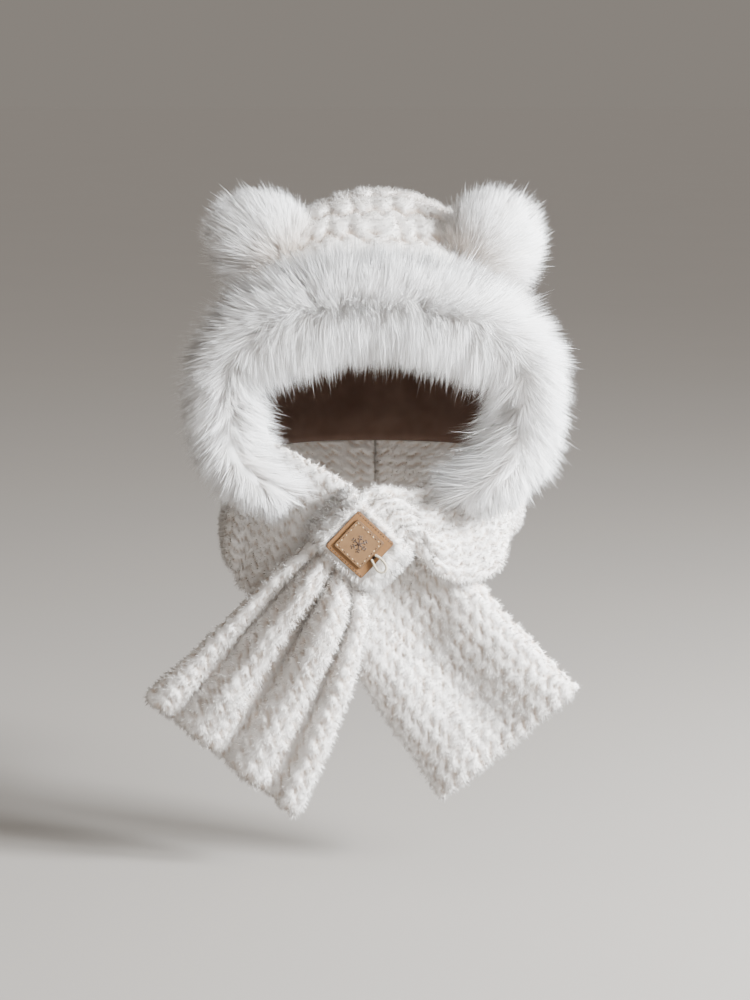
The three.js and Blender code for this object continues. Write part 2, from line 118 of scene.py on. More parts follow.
CROWN_TOP = SHELL_WALL + SEAM + LINING_WALL
WIDEST_Z = CROWN_TOP - HOOD_RISE
HEM_Z = CROWN_TOP - HEM_DEPTH
NECK_Z = HEM_Z - (HOOD_HALF_WIDTH - HOOD_FRONT) * 2
KEEPER_X = -0.013
KEEPER_Z = HEM_Z - KEEPER_BELOW_HEM
BROW_Z = WIDEST_Z + HOOD_RISE * 0.47
RIM_SLOPE = (BROW_FORWARD - CHEEK_FORWARD) / (BROW_Z - HEM_Z)
COLLAR_FRONT_Y = -(CROSS_FORWARD + SCARF_PILE / 2 + SEAM)
KEEPER_FACE_Y = COLLAR_FRONT_Y - SEAM - BUNDLE_DEPTH - KEEPER_WALL
LABEL_BACK_Y = KEEPER_FACE_Y - SEAM
LABEL_FACE_Y = LABEL_BACK_Y - LABEL_LEATHER
PATCH_BACK_Y = LABEL_FACE_Y - SEAM
RING_CENTRE_Z = (WIDEST_Z + HEM_Z) / 2
RING_END_TURN = math.radians(148)
RING_RISE = CROWN_TOP - TRIM_BELOW_CROWN - RING_CENTRE_Z
RING_FALL = (RING_CENTRE_Z - HEM_Z + TRIM_END_DROP) / abs(math.cos(RING_END_TURN)) ** (2 / RING_ROUNDNESS)
FLOOR_Z = -0.575
FLOOR_REACH = 60.0

FIBRE_FIELDS = ("along", "tone", "valley")
RING_FIELDS = ("turn", "side", "lift")
WELD = 2e-5
STEP = 1e-3
NOISE_VALUES = 4096
NOISE_PRIMES = (73856093, 19349663, 83492791)


def smooth(t: Array) -> Array:
    """Cubic step 3t^2 - 2t^3 of t held between 0 and 1."""
    held = np.clip(t, 0.0, 1.0)
    return held * held * (3.0 - 2.0 * held)


def signed_power(base: Array, power: Array) -> Array:
    """Return sign(base) |base|^power."""
    return np.sign(base) * np.abs(base) ** power


def blend(low: Array, high: Array, share: Array) -> Array:
    """Mix two values: low + (high - low) share."""
    return low + (high - low) * share


def unit(vectors: Array) -> Array:
    """Scale vectors, whose last axis holds x, y, z, to length 1."""
    return vectors / np.maximum(np.linalg.norm(vectors, axis=-1, keepdims=True), 1e-12)


def vector_field(x: Array, y: Array, z: Array) -> Array:
    """Stack three coordinates into points along a new last axis."""
    return np.stack(np.broadcast_arrays(x, y, z), axis=-1).astype(float)


def once_round(count: int) -> Array:
    """Return a row of angles that go once round in even steps."""
    return np.linspace(0.0, 2 * math.pi, count + 1)[:-1][None]


def distances(line: Array) -> Array:
    """Measure how far along a line each of its points lies."""
    return np.append(0.0, np.cumsum(np.linalg.norm(np.diff(line, axis=0), axis=1)))


def tangent(rng: np.random.Generator, normals: Array) -> Array:
    """Draw a random unit vector at right angles to each normal."""
    drawn = rng.normal(size=normals.shape)
    return unit(drawn - normals * np.sum(drawn * normals, axis=1, keepdims=True))


def value_noise(points: Array, size: float, seed: int) -> Array:
    """Smooth value noise: random values at the corners of cubes, blended by the cubic step.

    Args:
        points: Points, shape (..., 3).
        size: The cubes' edge.
        seed: Seed of the corner values.

    Returns:
        Noise between -1 and 1.
    """
    table = np.random.default_rng(seed).uniform(-1.0, 1.0, NOISE_VALUES)
    place = points / size
    cell = np.floor(place).astype(np.int64)
    share = smooth(place - cell)
    total = np.zeros(points.shape[:-1])
    for corner in np.ndindex(2, 2, 2):
        step = np.array(corner[::-1])
        x, y, z = np.moveaxis((cell + step) * NOISE_PRIMES, -1, 0)
        weight = np.prod(np.where(step == 1, share, 1.0 - share), axis=-1)
        total += weight * table[(x ^ y ^ z) % NOISE_VALUES]
    return total


def catmull_rom(stations: Array, share: Array) -> Array:
    """Place points on the uniform Catmull-Rom curve through stations, its ends carried on straight.

    Args:
        stations: Shape (stations, 3).
        share: From 0 to 1 along the curve.

    Returns:
        The points.
    """
    ends = np.concatenate([[2 * stations[0] - stations[1]], stations, [2 * stations[-1] - stations[-2]]])
    place = share * (len(stations) - 1)
    low = np.minimum(np.floor(place).astype(int), len(stations) - 2)
    t = (place - low)[..., None]
    a, b, c, d = (ends[low + k] for k in range(4))
    cubic = 2 * b + (c - a) * t + (2 * a - 5 * b + 4 * c - d) * t ** 2 + (3 * b - a - 3 * c + d) * t ** 3
    return cubic / 2


class MaterialSlot(Enum):
    """The record's material slots, one kept with each look."""

    PLUSH = "plush"
    LONG_FUR = "long_fur"
    LINING = "lining"
    LEATHER = "label_leather"
    CORD = "loop_cord"


def feed(tree: bpy.types.NodeTree, slot: bpy.types.NodeSocket, value: Any) -> None:
    """Link a Socket to an input, or set the input's own value.

    Args:
        tree: The node tree.
        slot: The input.
        value: A Socket or a plain value.
    """
    if isinstance(value, Socket):
        tree.links.new(value.output, slot)
    else:
        slot.default_value = value


class Socket:
    """An output socket that sums and products can be written with; each operator adds one Math node."""

    def __init__(self, tree: bpy.types.NodeTree, output: bpy.types.NodeSocket) -> None:
        """Wrap an output socket of a node tree."""
        self.tree = tree
        self.output = output

    def maths(self, operation: str, *terms: Term, clamp: bool = False) -> "Socket":
        """Add a Math node.

        Args:
            operation: Blender's name of the operation.
            terms: Its inputs in order.
            clamp: Whether the result is held between 0 and 1.

        Returns:
            The node's result.
        """
        node = self.tree.nodes.new("ShaderNodeMath")
        node.operation = operation
        node.use_clamp = clamp
        for slot, term in zip(node.inputs, terms):
            feed(self.tree, slot, term)
        return Socket(self.tree, node.outputs[0])

    def __add__(self, other: Term) -> "Socket":
        """Return self + other."""
        return self.maths("ADD", self, other)

    def __radd__(self, other: float) -> "Socket":
        """Return other + self."""
        return self.maths("ADD", other, self)

    def __sub__(self, other: Term) -> "Socket":
        """Return self - other."""
        return self.maths("SUBTRACT", self, other)

    def __rsub__(self, other: float) -> "Socket":
        """Return other - self."""
        return self.maths("SUBTRACT", other, self)

    def __mul__(self, other: Term) -> "Socket":
        """Return self * other."""
        return self.maths("MULTIPLY", self, other)

    def __rmul__(self, other: float) -> "Socket":
        """Return other * self."""
        return self.maths("MULTIPLY", other, self)

    def __pow__(self, power: float) -> "Socket":
        """Return self raised to a power."""
        return self.maths("POWER", self, power)

    def held(self) -> "Socket":
        """Hold the value between 0 and 1."""
        return self.maths("ADD", self, 0.0, clamp=True)

    def sine(self) -> "Socket":
        """Take the sine."""
        return self.maths("SINE", self)


class Shader:
    """A material's nodes: one Principled surface and what feeds it."""

    def __init__(self, name: str) -> None:
        """Start a material with a bare Principled surface.

        Args:
            name: The material's name.
        """
        self.material = bpy.data.materials.new(name)
        self.material.use_nodes = True
        self.tree = self.material.node_tree
        self.surface = self.tree.nodes["Principled BSDF"]

    def node(self, kind: str, output: Union[str, int], inputs: Dict[Any, Any], **settings: Any) -> Socket:
        """Add a node of any kind.

        Args:
            kind: Blender's node type.
            output: The name or number of the output to read.
            inputs: Values or sockets for its inputs, by name or number.
            settings: The node's own properties.

        Returns:
            The output.
        """
        made = self.tree.nodes.new(kind)
        for key, value in settings.items():
            setattr(made, key, value)
        for key, value in inputs.items():
            feed(self.tree, made.inputs[key], value)
        return Socket(self.tree, made.outputs[output])

    def attribute(self, name: str) -> Socket:
        """Read a number that the mesh carries at its points."""
        return self.node("ShaderNodeAttribute", "Fac", {}, attribute_name=name)

    def place(self) -> Socket:
        """Read the object's own coordinates in metres."""
        return self.node("ShaderNodeTexCoord", "Object", {})

    def axes(self) -> List[Socket]:
        """Read the object's own x, y and z in metres."""
        place = self.place()
        return [self.node("ShaderNodeSeparateXYZ", axis, {"Vector": place}) for axis in "XYZ"]

    def noise(self, size: float, detail: float) -> Socket:
        """Add noise from 0 to 1, with blotches of about this size and levels of finer detail."""
        inputs = {"Vector": self.place(), "Scale": 1.0 / size, "Detail": detail}
        return self.node("ShaderNodeTexNoise", "Fac", inputs)

    def mix(self, share: Socket, low: Union[Colour, Socket], high: Colour) -> Socket:
        """Mix two colours, share telling how much of the second."""
        first = low if isinstance(low, Socket) else (*low, 1.0)
        return self.node("ShaderNodeMix", 2, {0: share, 6: first, 7: (*high, 1.0)}, data_type="RGBA")

    def bump(self, height: Socket, distance: float) -> Socket:
        """Turn a height, whose 1 is a distance in metres, into a normal."""
        inputs = {"Height": height, "Distance": distance, "Strength": 1.0}
        return self.node("ShaderNodeBump", "Normal", inputs)

    def finish(self, **inputs: Any) -> bpy.types.Material:
        """Set the Principled surface's inputs.

        Args:
            inputs: Values or sockets, with _ for each space in the input's name.

        Returns:
            The material.
        """
        for key, value in inputs.items():
            feed(self.tree, self.surface.inputs[key.replace("_", " ")], value)
        return self.material


@dataclass(frozen=True)
class FibreFinish:
    """White fibres, warmer and darker towards their roots as painted shade deep in the pile."""

    name: str
    root: Colour
    tip: Colour
    valley: Colour

    def build(self) -> bpy.types.Material:
        """Make the material, which reads the attributes along, tone and valley: low along and high valley
        paint shade.

        Returns:
            The material.
        """
        shader = Shader(self.name)
        along, tone, valley = (shader.attribute(key) for key in FIBRE_FIELDS)
        # Painted shade deep in the pile: the colour runs from the darker root colour at along 0 towards the
        # tip colour, with a random tone.
        fibre = shader.mix((along ** 0.9 * 0.8 + tone * 0.4).held(), self.root, self.tip)
        # Painted shade in creases: valley mixes in the valley colour, less towards the tips.
        return shader.finish(
            Base_Color=shader.mix((valley * (1.0 - 0.25 * along)).held(), fibre, self.valley),
            Roughness=0.62,
            Specular_IOR_Level=0.2,
            Sheen_Weight=0.25,
            Sheen_Roughness=0.5,
        )


@dataclass(frozen=True)
class ClothFinish:
    """Smooth woven cloth."""

    name: str
    low: Colour
    high: Colour
    thread: float = 0.0009

    def build(self) -> bpy.types.Material:
        """Make the material: fine threads both ways and broad soft wrinkles, lighter on their crests and
        darker in their hollows as painted shade.

        Returns:
            The material.
        """
        shader = Shader(self.name)
        x, y, z = shader.axes()
        count = 2.0 * math.pi / self.thread
        weave = ((x + y) * count).sine() * (z * count).sine()
        wrinkle = shader.noise(0.03, 2.0)
        # The same noise colours the cloth and raises its wrinkles: painted shade in the hollows.
        return shader.finish(
            Base_Color=shader.mix((wrinkle * 1.4 - 0.2).held(), self.low, self.high),
            Roughness=0.75,
            Specular_IOR_Level=0.25,
            Sheen_Weight=0.15,
            Normal=shader.bump(weave * 0.15 + wrinkle * 4.0, 0.0006),
        )


@dataclass(frozen=True)
class LeatherFinish:
    """Tan leather with grain, and edges burnished darker."""

    name: str
    low: Colour
    high: Colour
    edge: Colour

    def build(self) -> bpy.types.Material:
        """Make the material, which reads the attribute valley as the darkness of an edge.

        Returns:
            The material.
        """
        shader = Shader(self.name)
        blotch, grain = shader.noise(0.006, 4.0), shader.noise(0.0007, 5.0)
        face = shader.mix((blotch * 1.6 - 0.3).held(), self.low, self.high)
        dark = (shader.attribute("valley") + (0.5 - grain) * 0.25).held()
        return shader.finish(
            Base_Color=shader.mix(dark, face, self.edge),
            Roughness=(0.5 + 0.25 * grain).held(),
            Specular_IOR_Level=0.4,
            Normal=shader.bump(grain + blotch * 0.5, 0.00025),
        )


@dataclass(frozen=True)
class ThreadFinish:
    """Twisted thread or cord in one colour, with painted shade between its plies."""

    name: str
    low: Colour
    high: Colour
    ply: float = 0.0008

    def build(self) -> bpy.types.Material:
        """Make the material: slanted plies across the thread, lighter on their crests and darker between
        them as painted shade.

        Returns:
            The material.
        """
        shader = Shader(self.name)
        x, _, z = shader.axes()
        wave = ((x * 1.4 + z) * (2.0 * math.pi / self.ply)).sine() * 0.5 + 0.5
        fuzz = shader.noise(0.0006, 3.0)
        # The plies' wave both lightens the colour and raises the bump: painted shade between the plies.
        return shader.finish(
            Base_Color=shader.mix((wave * 0.6 + fuzz * 0.5).held(), self.low, self.high),
            Roughness=0.8,
            Specular_IOR_Level=0.2,
            Sheen_Weight=0.2,
            Normal=shader.bump(wave + fuzz * 0.6, 0.00018),
        )


@dataclass(frozen=True)
class StudioFinish:
    """The plain matt surface under the object."""

    name: str
    colour: Colour

    def build(self) -> bpy.types.Material:
        """Make the material: one colour with a faint soft mottling.

        Returns:
            The material.
        """
        shader = Shader(self.name)
        low = tuple(c * 0.97 for c in self.colour)
        mottled = shader.mix(shader.noise(0.4, 2.0), low, self.colour)
        return shader.finish(Base_Color=mottled, Roughness=0.9, Specular_IOR_Level=0.1)


@dataclass(frozen=True)
class Look:
    """A material and a record slot, which is kept here but not given to the pieces."""

    material: bpy.types.Material
    slot: MaterialSlot

    def dress(self, piece: bpy.types.Object, *nodes: str) -> bpy.types.Object:
        """Attach a piece to the root body, and hide the nodes that it stands for.

        Args:
            piece: The object.
            nodes: The nodes that it replaces.

        Returns:
            The piece.
        """
        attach(piece, "root")
        if nodes:
            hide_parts(*nodes)
        return piece

    def piece(self, form: Union["Surface", "Strands"], name: str, *nodes: str) -> bpy.types.Object:
        """Make an object of a form, and dress it."""
        return self.dress(form.to_object(name, self.material), *nodes)


class Finishes:
    """Every material, built once."""

    def __init__(self) -> None:
        """Build the materials."""
        # The root and valley colours below are painted shade: deep in the pile and in the creases.
        plush = FibreFinish("plush_fibres", (0.77, 0.70, 0.632), (0.90, 0.89, 0.88), (0.64, 0.505, 0.40))
        fur = FibreFinish("long_fur_fibres", (0.66, 0.60, 0.55), (0.94, 0.94, 0.945), (0.50, 0.38, 0.27))
        lining = ClothFinish("lining_cloth", (0.115, 0.062, 0.044), (0.22, 0.14, 0.105))
        leather = LeatherFinish(
            "tan_leather", low=(0.18, 0.084, 0.028), high=(0.25, 0.122, 0.043), edge=(0.06, 0.025, 0.009)
        )
        patch = LeatherFinish(
            "patch_leather", low=(0.155, 0.08, 0.032), high=(0.21, 0.113, 0.047), edge=(0.04, 0.018, 0.007)
        )
        dark = ThreadFinish("dark_thread", (0.025, 0.011, 0.005), (0.06, 0.027, 0.012))
        light = ThreadFinish("light_thread", (0.5, 0.33, 0.17), (0.66, 0.48, 0.28))
        cord = ThreadFinish("cotton_cord", (0.30, 0.25, 0.18), (0.52, 0.455, 0.35), 0.0011)
        self.plush = Look(plush.build(), MaterialSlot.PLUSH)
        self.fur = Look(fur.build(), MaterialSlot.LONG_FUR)
        self.lining = Look(lining.build(), MaterialSlot.LINING)
        self.leather, self.patch, self.dark_thread, self.light_thread = (
            Look(finish.build(), MaterialSlot.LEATHER) for finish in (leather, patch, dark, light)
        )
        self.cord = Look(cord.build(), MaterialSlot.CORD)
        self.floor = StudioFinish("studio_floor", (0.33, 0.305, 0.28)).build()


def add_object(name: str, data: bpy.types.ID) -> bpy.types.Object:
    """Add an object to the scene.

    Args:
        name: Its name.
        data: Its mesh, curve, light or camera.

    Returns:
        The object.
    """
    made = bpy.data.objects.new(name, data)
    bpy.context.scene.collection.objects.link(made)
    return made


@dataclass
class Surface:
    """A triangle mesh as arrays, with numbers kept at its points."""

    points: Array
    triangles: Array
    fields: Dict[str, Array] = field(default_factory=dict)

    @classmethod
    def from_grid(cls, grid: Array, fields: Optional[Dict[str, Array]] = None) -> "Surface":
        """Join a grid's points with two triangles a cell, and its last column to its first.

        Points that share a place are merged, triangles that are flat or lie on each other are dropped,
        and the rest are turned so that the closed surface's volume is positive.

        Args:
            grid: Points, shape (rows, columns, 3).
            fields: Numbers at the grid's points.

        Returns:
            The surface.
        """
        shape, points = grid.shape[:2], grid.reshape(-1, 3)
        index = np.arange(len(points)).reshape(shape)
        index = np.concatenate([index, index[:, :1]], axis=1)
        a, b, c, d = index[:-1, :-1], index[:-1, 1:], index[1:, 1:], index[1:, :-1]
        triangles = np.concatenate([np.stack(cell, -1).reshape(-1, 3) for cell in ((a, b, c), (a, c, d))])
        keys = np.round(points / WELD).astype(np.int64)
        _, first, where = np.unique(keys, axis=0, return_index=True, return_inverse=True)
        triangles = where.reshape(-1)[triangles]
        a, b, c = triangles.T
        triangles = triangles[(a != b) & (b != c) & (c != a)]
        sets = np.sort(triangles, axis=1)
        _, back, times = np.unique(sets, axis=0, return_inverse=True, return_counts=True)
        used, order = np.unique(triangles[times[back.reshape(-1)] == 1], return_inverse=True)
        kept = {key: np.broadcast_to(v, shape).reshape(-1)[first[used]] for key, v in (fields or {}).items()}
        made = cls(points[first[used]], order.reshape(-1, 3), kept)
        a, b, c = made.points[made.triangles.T]
        if np.einsum("nk,nk->", a, np.cross(b, c)) <= 0:
            made.triangles = made.triangles[:, ::-1]
        return made

    def crosses(self) -> Array:
        """Give each triangle's normal with twice its area as length."""
        a, b, c = self.points[self.triangles.T]
        return np.cross(b - a, c - a)

    def area(self) -> float:
        """Add up the triangles' areas in square metres."""
        return float(np.linalg.norm(self.crosses(), axis=1).sum() / 2)

    def normals(self) -> Array:
        """Give each point's unit normal, the area-weighted sum of its triangles' normals.

        Returns:
            The normals, shape (points, 3).
        """
        columns, count = self.crosses().T, len(self.points)
        return unit(sum(
            np.stack([np.bincount(corner, column, count) for column in columns], axis=1)
            for corner in self.triangles.T
        ))

    def raised(self, height: Array) -> "Surface":
        """Move each point along its normal by its height."""
        return replace(self, points=self.points + self.normals() * height[:, None])

    def tinted(self, *values: Array) -> "Surface":
        """Keep only what the fibres' material reads: along, tone and valley; low along and high valley paint
        shade.
        """
        spread = (np.broadcast_to(value, len(self.points)) for value in values)
        return replace(self, fields=dict(zip(FIBRE_FIELDS, spread)))

    def sample(
        self, rng: np.random.Generator, count: int, weight: Optional[Array] = None
    ) -> Tuple[Array, Array, Dict[str, Array]]:
        """Scatter points over the surface, evenly by area and by a weight.

        Args:
            rng: Source of random numbers.
            count: How many points.
            weight: Relative density at the surface's points.

        Returns:
            The places, their normals and their fields.
        """
        share = np.linalg.norm(self.crosses(), axis=1)
        if weight is not None:
            share = share * weight[self.triangles].mean(axis=1)
        chosen = rng.choice(len(self.triangles), count, p=share / share.sum())
        corners = self.triangles[chosen]
        u, v = rng.random(count), rng.random(count)
        over = u + v > 1
        u[over], v[over] = 1 - u[over], 1 - v[over]
        parts = np.stack([1 - u - v, u, v], axis=1)
        places, normals, *fields = (
            np.einsum("nk,nk...->n...", parts, values[corners])
            for values in (self.points, self.normals(), *self.fields.values())
        )
        return places, unit(normals), dict(zip(self.fields, fields))

    def to_object(
        self, name: str, material: bpy.types.Material, normals: Optional[Array] = None
    ) -> bpy.types.Object:
        """Make a Blender object.

        Args:
            name: The piece's name.
            material: Its material.
            normals: Shading normals at the points, if not the mesh's own.

        Returns:
            The object, linked to the scene.
        """
        count = len(self.triangles)
        mesh = bpy.data.meshes.new(name)
        mesh.vertices.add(len(self.points))
        mesh.loops.add(3 * count)
        mesh.polygons.add(count)
        for items, key, values, kind in (
            (mesh.vertices, "co", self.points, np.float32),
            (mesh.loops, "vertex_index", self.triangles, np.int32),
            (mesh.polygons, "loop_start", np.arange(0, 3 * count, 3), np.int32),
            (mesh.polygons, "use_smooth", np.ones(count), bool),
        ):
            items.foreach_set(key, np.ascontiguousarray(values, dtype=kind).reshape(-1))
        for key, values in self.fields.items():
            layer = mesh.attributes.new(key, "FLOAT", "POINT")
            layer.data.foreach_set("value", np.ascontiguousarray(values, dtype=np.float32))
        mesh.update(calc_edges=True)
        mesh.validate()
        if normals is not None:
            mesh.normals_split_custom_set_from_vertices(normals)
        mesh.materials.append(material)
        log.info("%s: %d triangles", name, count)
        return add_object(name, mesh)


@dataclass
class Strands:
    """Fibres as thin tapered ribbons that lie flat on the form they grow from."""

    root: Array
    direction: Array
    length: Array
    width: Array
    face: Array
    bend: Array
    tone: Array
    valley: Array
    steps: Tuple[float, ...] = (0.0, 0.5)
    softness: float = 0.72
    leader: Optional[Array] = None
    grip: float = 0.0

    def lines(self) -> Array:
        """Place points along each strand: p(t) = root + L (direction t + bend t^2).

        A strand with a leader is drawn towards the leader's points by the share grip t^1.4.

        Returns:
            Points, shape (strands, steps + 1, 3).
        """
        t = np.array([*self.steps, 1.0])[None, :, None]
        run = self.direction[:, None] * t + self.bend[:, None] * t * t
        lines = self.root[:, None] + run * self.length[:, None, None]
        return lines if self.leader is None else blend(lines, lines[self.leader], self.grip * t ** 1.4)

    def to_object(self, name: str, material: bpy.types.Material) -> bpy.types.Object:
        """Make a Blender object of ribbons: a pair of points at each step and one at the tip.

        Args:
            name: The piece's name.
            material: Its material.

        Returns:
            The object.
        """
        lines = self.lines()
        count, steps = len(lines), len(self.steps)
        side = unit(np.cross(unit(np.gradient(lines, axis=1)), self.face[:, None]))
        taper = (1.0 - np.array(self.steps) ** 2 * 0.55)[None, :, None]
        half = side[:, :steps] * self.width[:, None, None] / 2 * taper
        pairs = np.stack([lines[:, :steps] - half, lines[:, :steps] + half], axis=2)
        points = np.concatenate([pairs.reshape(count, steps * 2, 3), lines[:, -1:]], axis=1)
        cells = []
        for k in range(0, 2 * (steps - 1), 2):
            cells += [[k, k + 1, k + 3], [k, k + 3, k + 2]]
        size = 2 * steps + 1
        cells.append([size - 3, size - 2, size - 1])
        triangles = np.arange(count)[:, None, None] * size + np.array(cells)
        a, b, c = (points[:, corner] for corner in cells[0])
        shaded = unit(blend(unit(np.cross(b - a, c - a)), self.face, self.softness))
        # along runs from 0 at the root to 1 at the tip; the material paints shade towards the root.
        stops = np.append(np.repeat(self.steps, 2), 1.0)
        values = (np.tile(stops, count), np.repeat(self.tone, size), np.repeat(self.valley, size))
        ribbons = Surface(points.reshape(-1, 3), triangles.reshape(-1, 3)).tinted(*values)
        return ribbons.to_object(name, material, np.repeat(shaded, size, axis=0))

    def chosen(self, mask: Array) -> "Strands":
        """Keep some whole clumps of the strands.

        Args:
            mask: Which strands.

        Returns:
            The strands kept.
        """
        keys = ("root", "direction", "length", "width", "face", "bend", "tone", "valley")
        leader = (np.cumsum(mask) - 1)[self.leader[mask]]
        return replace(self, leader=leader, **{key: getattr(self, key)[mask] for key in keys})


@dataclass(frozen=True)
class Pile:
    """Short plush pile, one tapered triangle a fibre, brushed the way of its comb."""

    count: int
    length: float
    width: float
    upright: float
    stray: float
    comb: Colour
    depth: float = 0.0006
    droop: float = 0.12
    face_stray: float = 0.22
    softness: float = 0.85

    def grow(self, surface: Surface, seed: int, weight: Array) -> Strands:
        """Grow the pile on a surface.

        Args:
            surface: What it grows on, with the field valley.
            seed: Seed of its random numbers.
            weight: Relative density at the surface's points.

        Returns:
            The strands.
        """
        rng = np.random.default_rng(seed)
        root, normal, fields = surface.sample(rng, self.count, weight)
        way = normal * self.upright + tangent(rng, normal) * self.stray * rng.random(self.count)[:, None]
        return Strands(
            root=root - normal * self.depth,
            direction=unit(way + np.array(self.comb)),
            length=self.length * rng.uniform(0.6, 1.25, self.count) * (1.0 - 0.5 * fields["valley"]),
            width=np.full(self.count, self.width),
            face=unit(normal + self.face_stray * tangent(rng, normal)),
            bend=np.tile([0.0, 0.0, -self.droop], (self.count, 1)),
            tone=0.3 + 0.4 * rng.random(self.count),
            # The strands carry the painted crease shade of where they grow.
            valley=fields["valley"],
            steps=(0.0,),
            softness=self.softness,
        )


@dataclass(frozen=True)
class Coat:
    """Long fur in clumps: strands about a first one, which draws them to itself near the tips.

    One strand in fourteen is a wisp, a quarter longer than the rest.
    """

    clumps: int
    per_clump: int
    spread: float
    lengths: Tuple[float, float]
    grip: float
    flow: float
    flow_size: float
    clump_stray: float = 0.07
    strand_stray: float = 0.13
    bend_stray: float = 0.035
    face_stray: float = 0.3
    strand_width: float = 0.00043
    depth: float = 0.002
    wisp_share: float = 1 / 14
    wisp_length: float = 1.25

    def flowing(self, rng: np.random.Generator, root: Array, way: Array, seed: int) -> Array:
        """Let the clumps' ways flow with a slow noise, and stray a little."""
        flow = np.stack([value_noise(root, self.flow_size, seed + axis) for axis in range(3)], axis=1)
        return unit(way + flow * self.flow + rng.normal(0.0, self.clump_stray, way.shape))

    def grow(
        self, rng: np.random.Generator, root: Array, normal: Array, way: Array, length: Array, bend: Array,
        valley: Array,
    ) -> Strands:
        """Grow the strands, each of whose clumps has one row in every array.

        Args:
            rng: Source of random numbers.
            root: Where the clumps stand.
            normal: The surface's normals there.
            way: The ways that they point.
            length: Their lengths.
            bend: Their bends.
            valley: Their painted shade.

        Returns:
            The strands.
        """
        crowd = np.repeat(np.arange(self.clumps), self.per_clump)
        count, leader, skin = len(crowd), crowd * self.per_clump, normal[crowd]
        away = rng.uniform(0.0, 1.0, count) ** 0.5 * self.spread
        away[leader] = 0.0
        return Strands(
            root=root[crowd] + tangent(rng, skin) * away[:, None] - skin * self.depth,
            direction=unit(way[crowd] + rng.normal(0.0, self.strand_stray, (count, 3))),
            length=length[crowd] * rng.uniform(*self.lengths, count)
            * np.where(rng.random(count) < self.wisp_share, self.wisp_length, 1.0),
            width=self.strand_width * rng.uniform(0.7, 1.2, count),
            face=unit(skin + self.face_stray * tangent(rng, skin)),
            bend=bend[crowd] + rng.normal(0.0, self.bend_stray, (count, 3)),
            tone=0.55 * rng.random(self.clumps)[crowd] + 0.45 * rng.random(count),
            valley=valley[crowd],
            leader=leader,
            grip=self.grip,
        )


@dataclass(frozen=True)
class TuftWeave:
    """The plush's tufts: rows whose borders run in a zigzag, cut into tufts at each corner of it."""

    row: float
    tuft: float
    zigzag: float = 0.26

    def relief(self, along: Array, across: Array, seed: int) -> Tuple[Array, Array]:
        """Give the height of the tufts, and the valleys between them, where the material paints shade.

        With a = along / tuft and w(a) the triangle wave of period 2, r = |2 frac(b) - 1| tells how near
        the border of a row b = across / row + zigzag w(a) is, and c = |2 frac(a / 2) - 1| how near a
        tuft's end is: each tuft is a pillow of height (1 - r^3)^0.6 (1 - 0.4 c^5).

        Args:
            along: Flat distance along the rows.
            across: Flat distance across them.
            seed: Seed of the tufts' own heights.

        Returns:
            Height from 0 to 1, and valley from 0 to 1, the share of painted shade in the creases.
        """
        table = np.random.default_rng(seed).uniform(0.75, 1.05, (97, 89))
        a = along / self.tuft
        wave = np.abs((a * 0.5) % 1.0 * 2.0 - 1.0) * 2.0 - 1.0
        b = across / self.row + self.zigzag * wave
        row, cell = np.floor(b).astype(int), np.floor(a * 0.5).astype(int)
        side, end = np.abs((b - row) * 2.0 - 1.0), np.abs((a * 0.5 - cell) * 2.0 - 1.0)
        height = (1.0 - side ** 3) ** 0.6 * (1.0 - 0.4 * end ** 5) * table[row % 97, cell % 89]
        # valley: painted shade where the relief is low, in the creases between tufts.
        return height, smooth((0.74 - height) / 0.6)


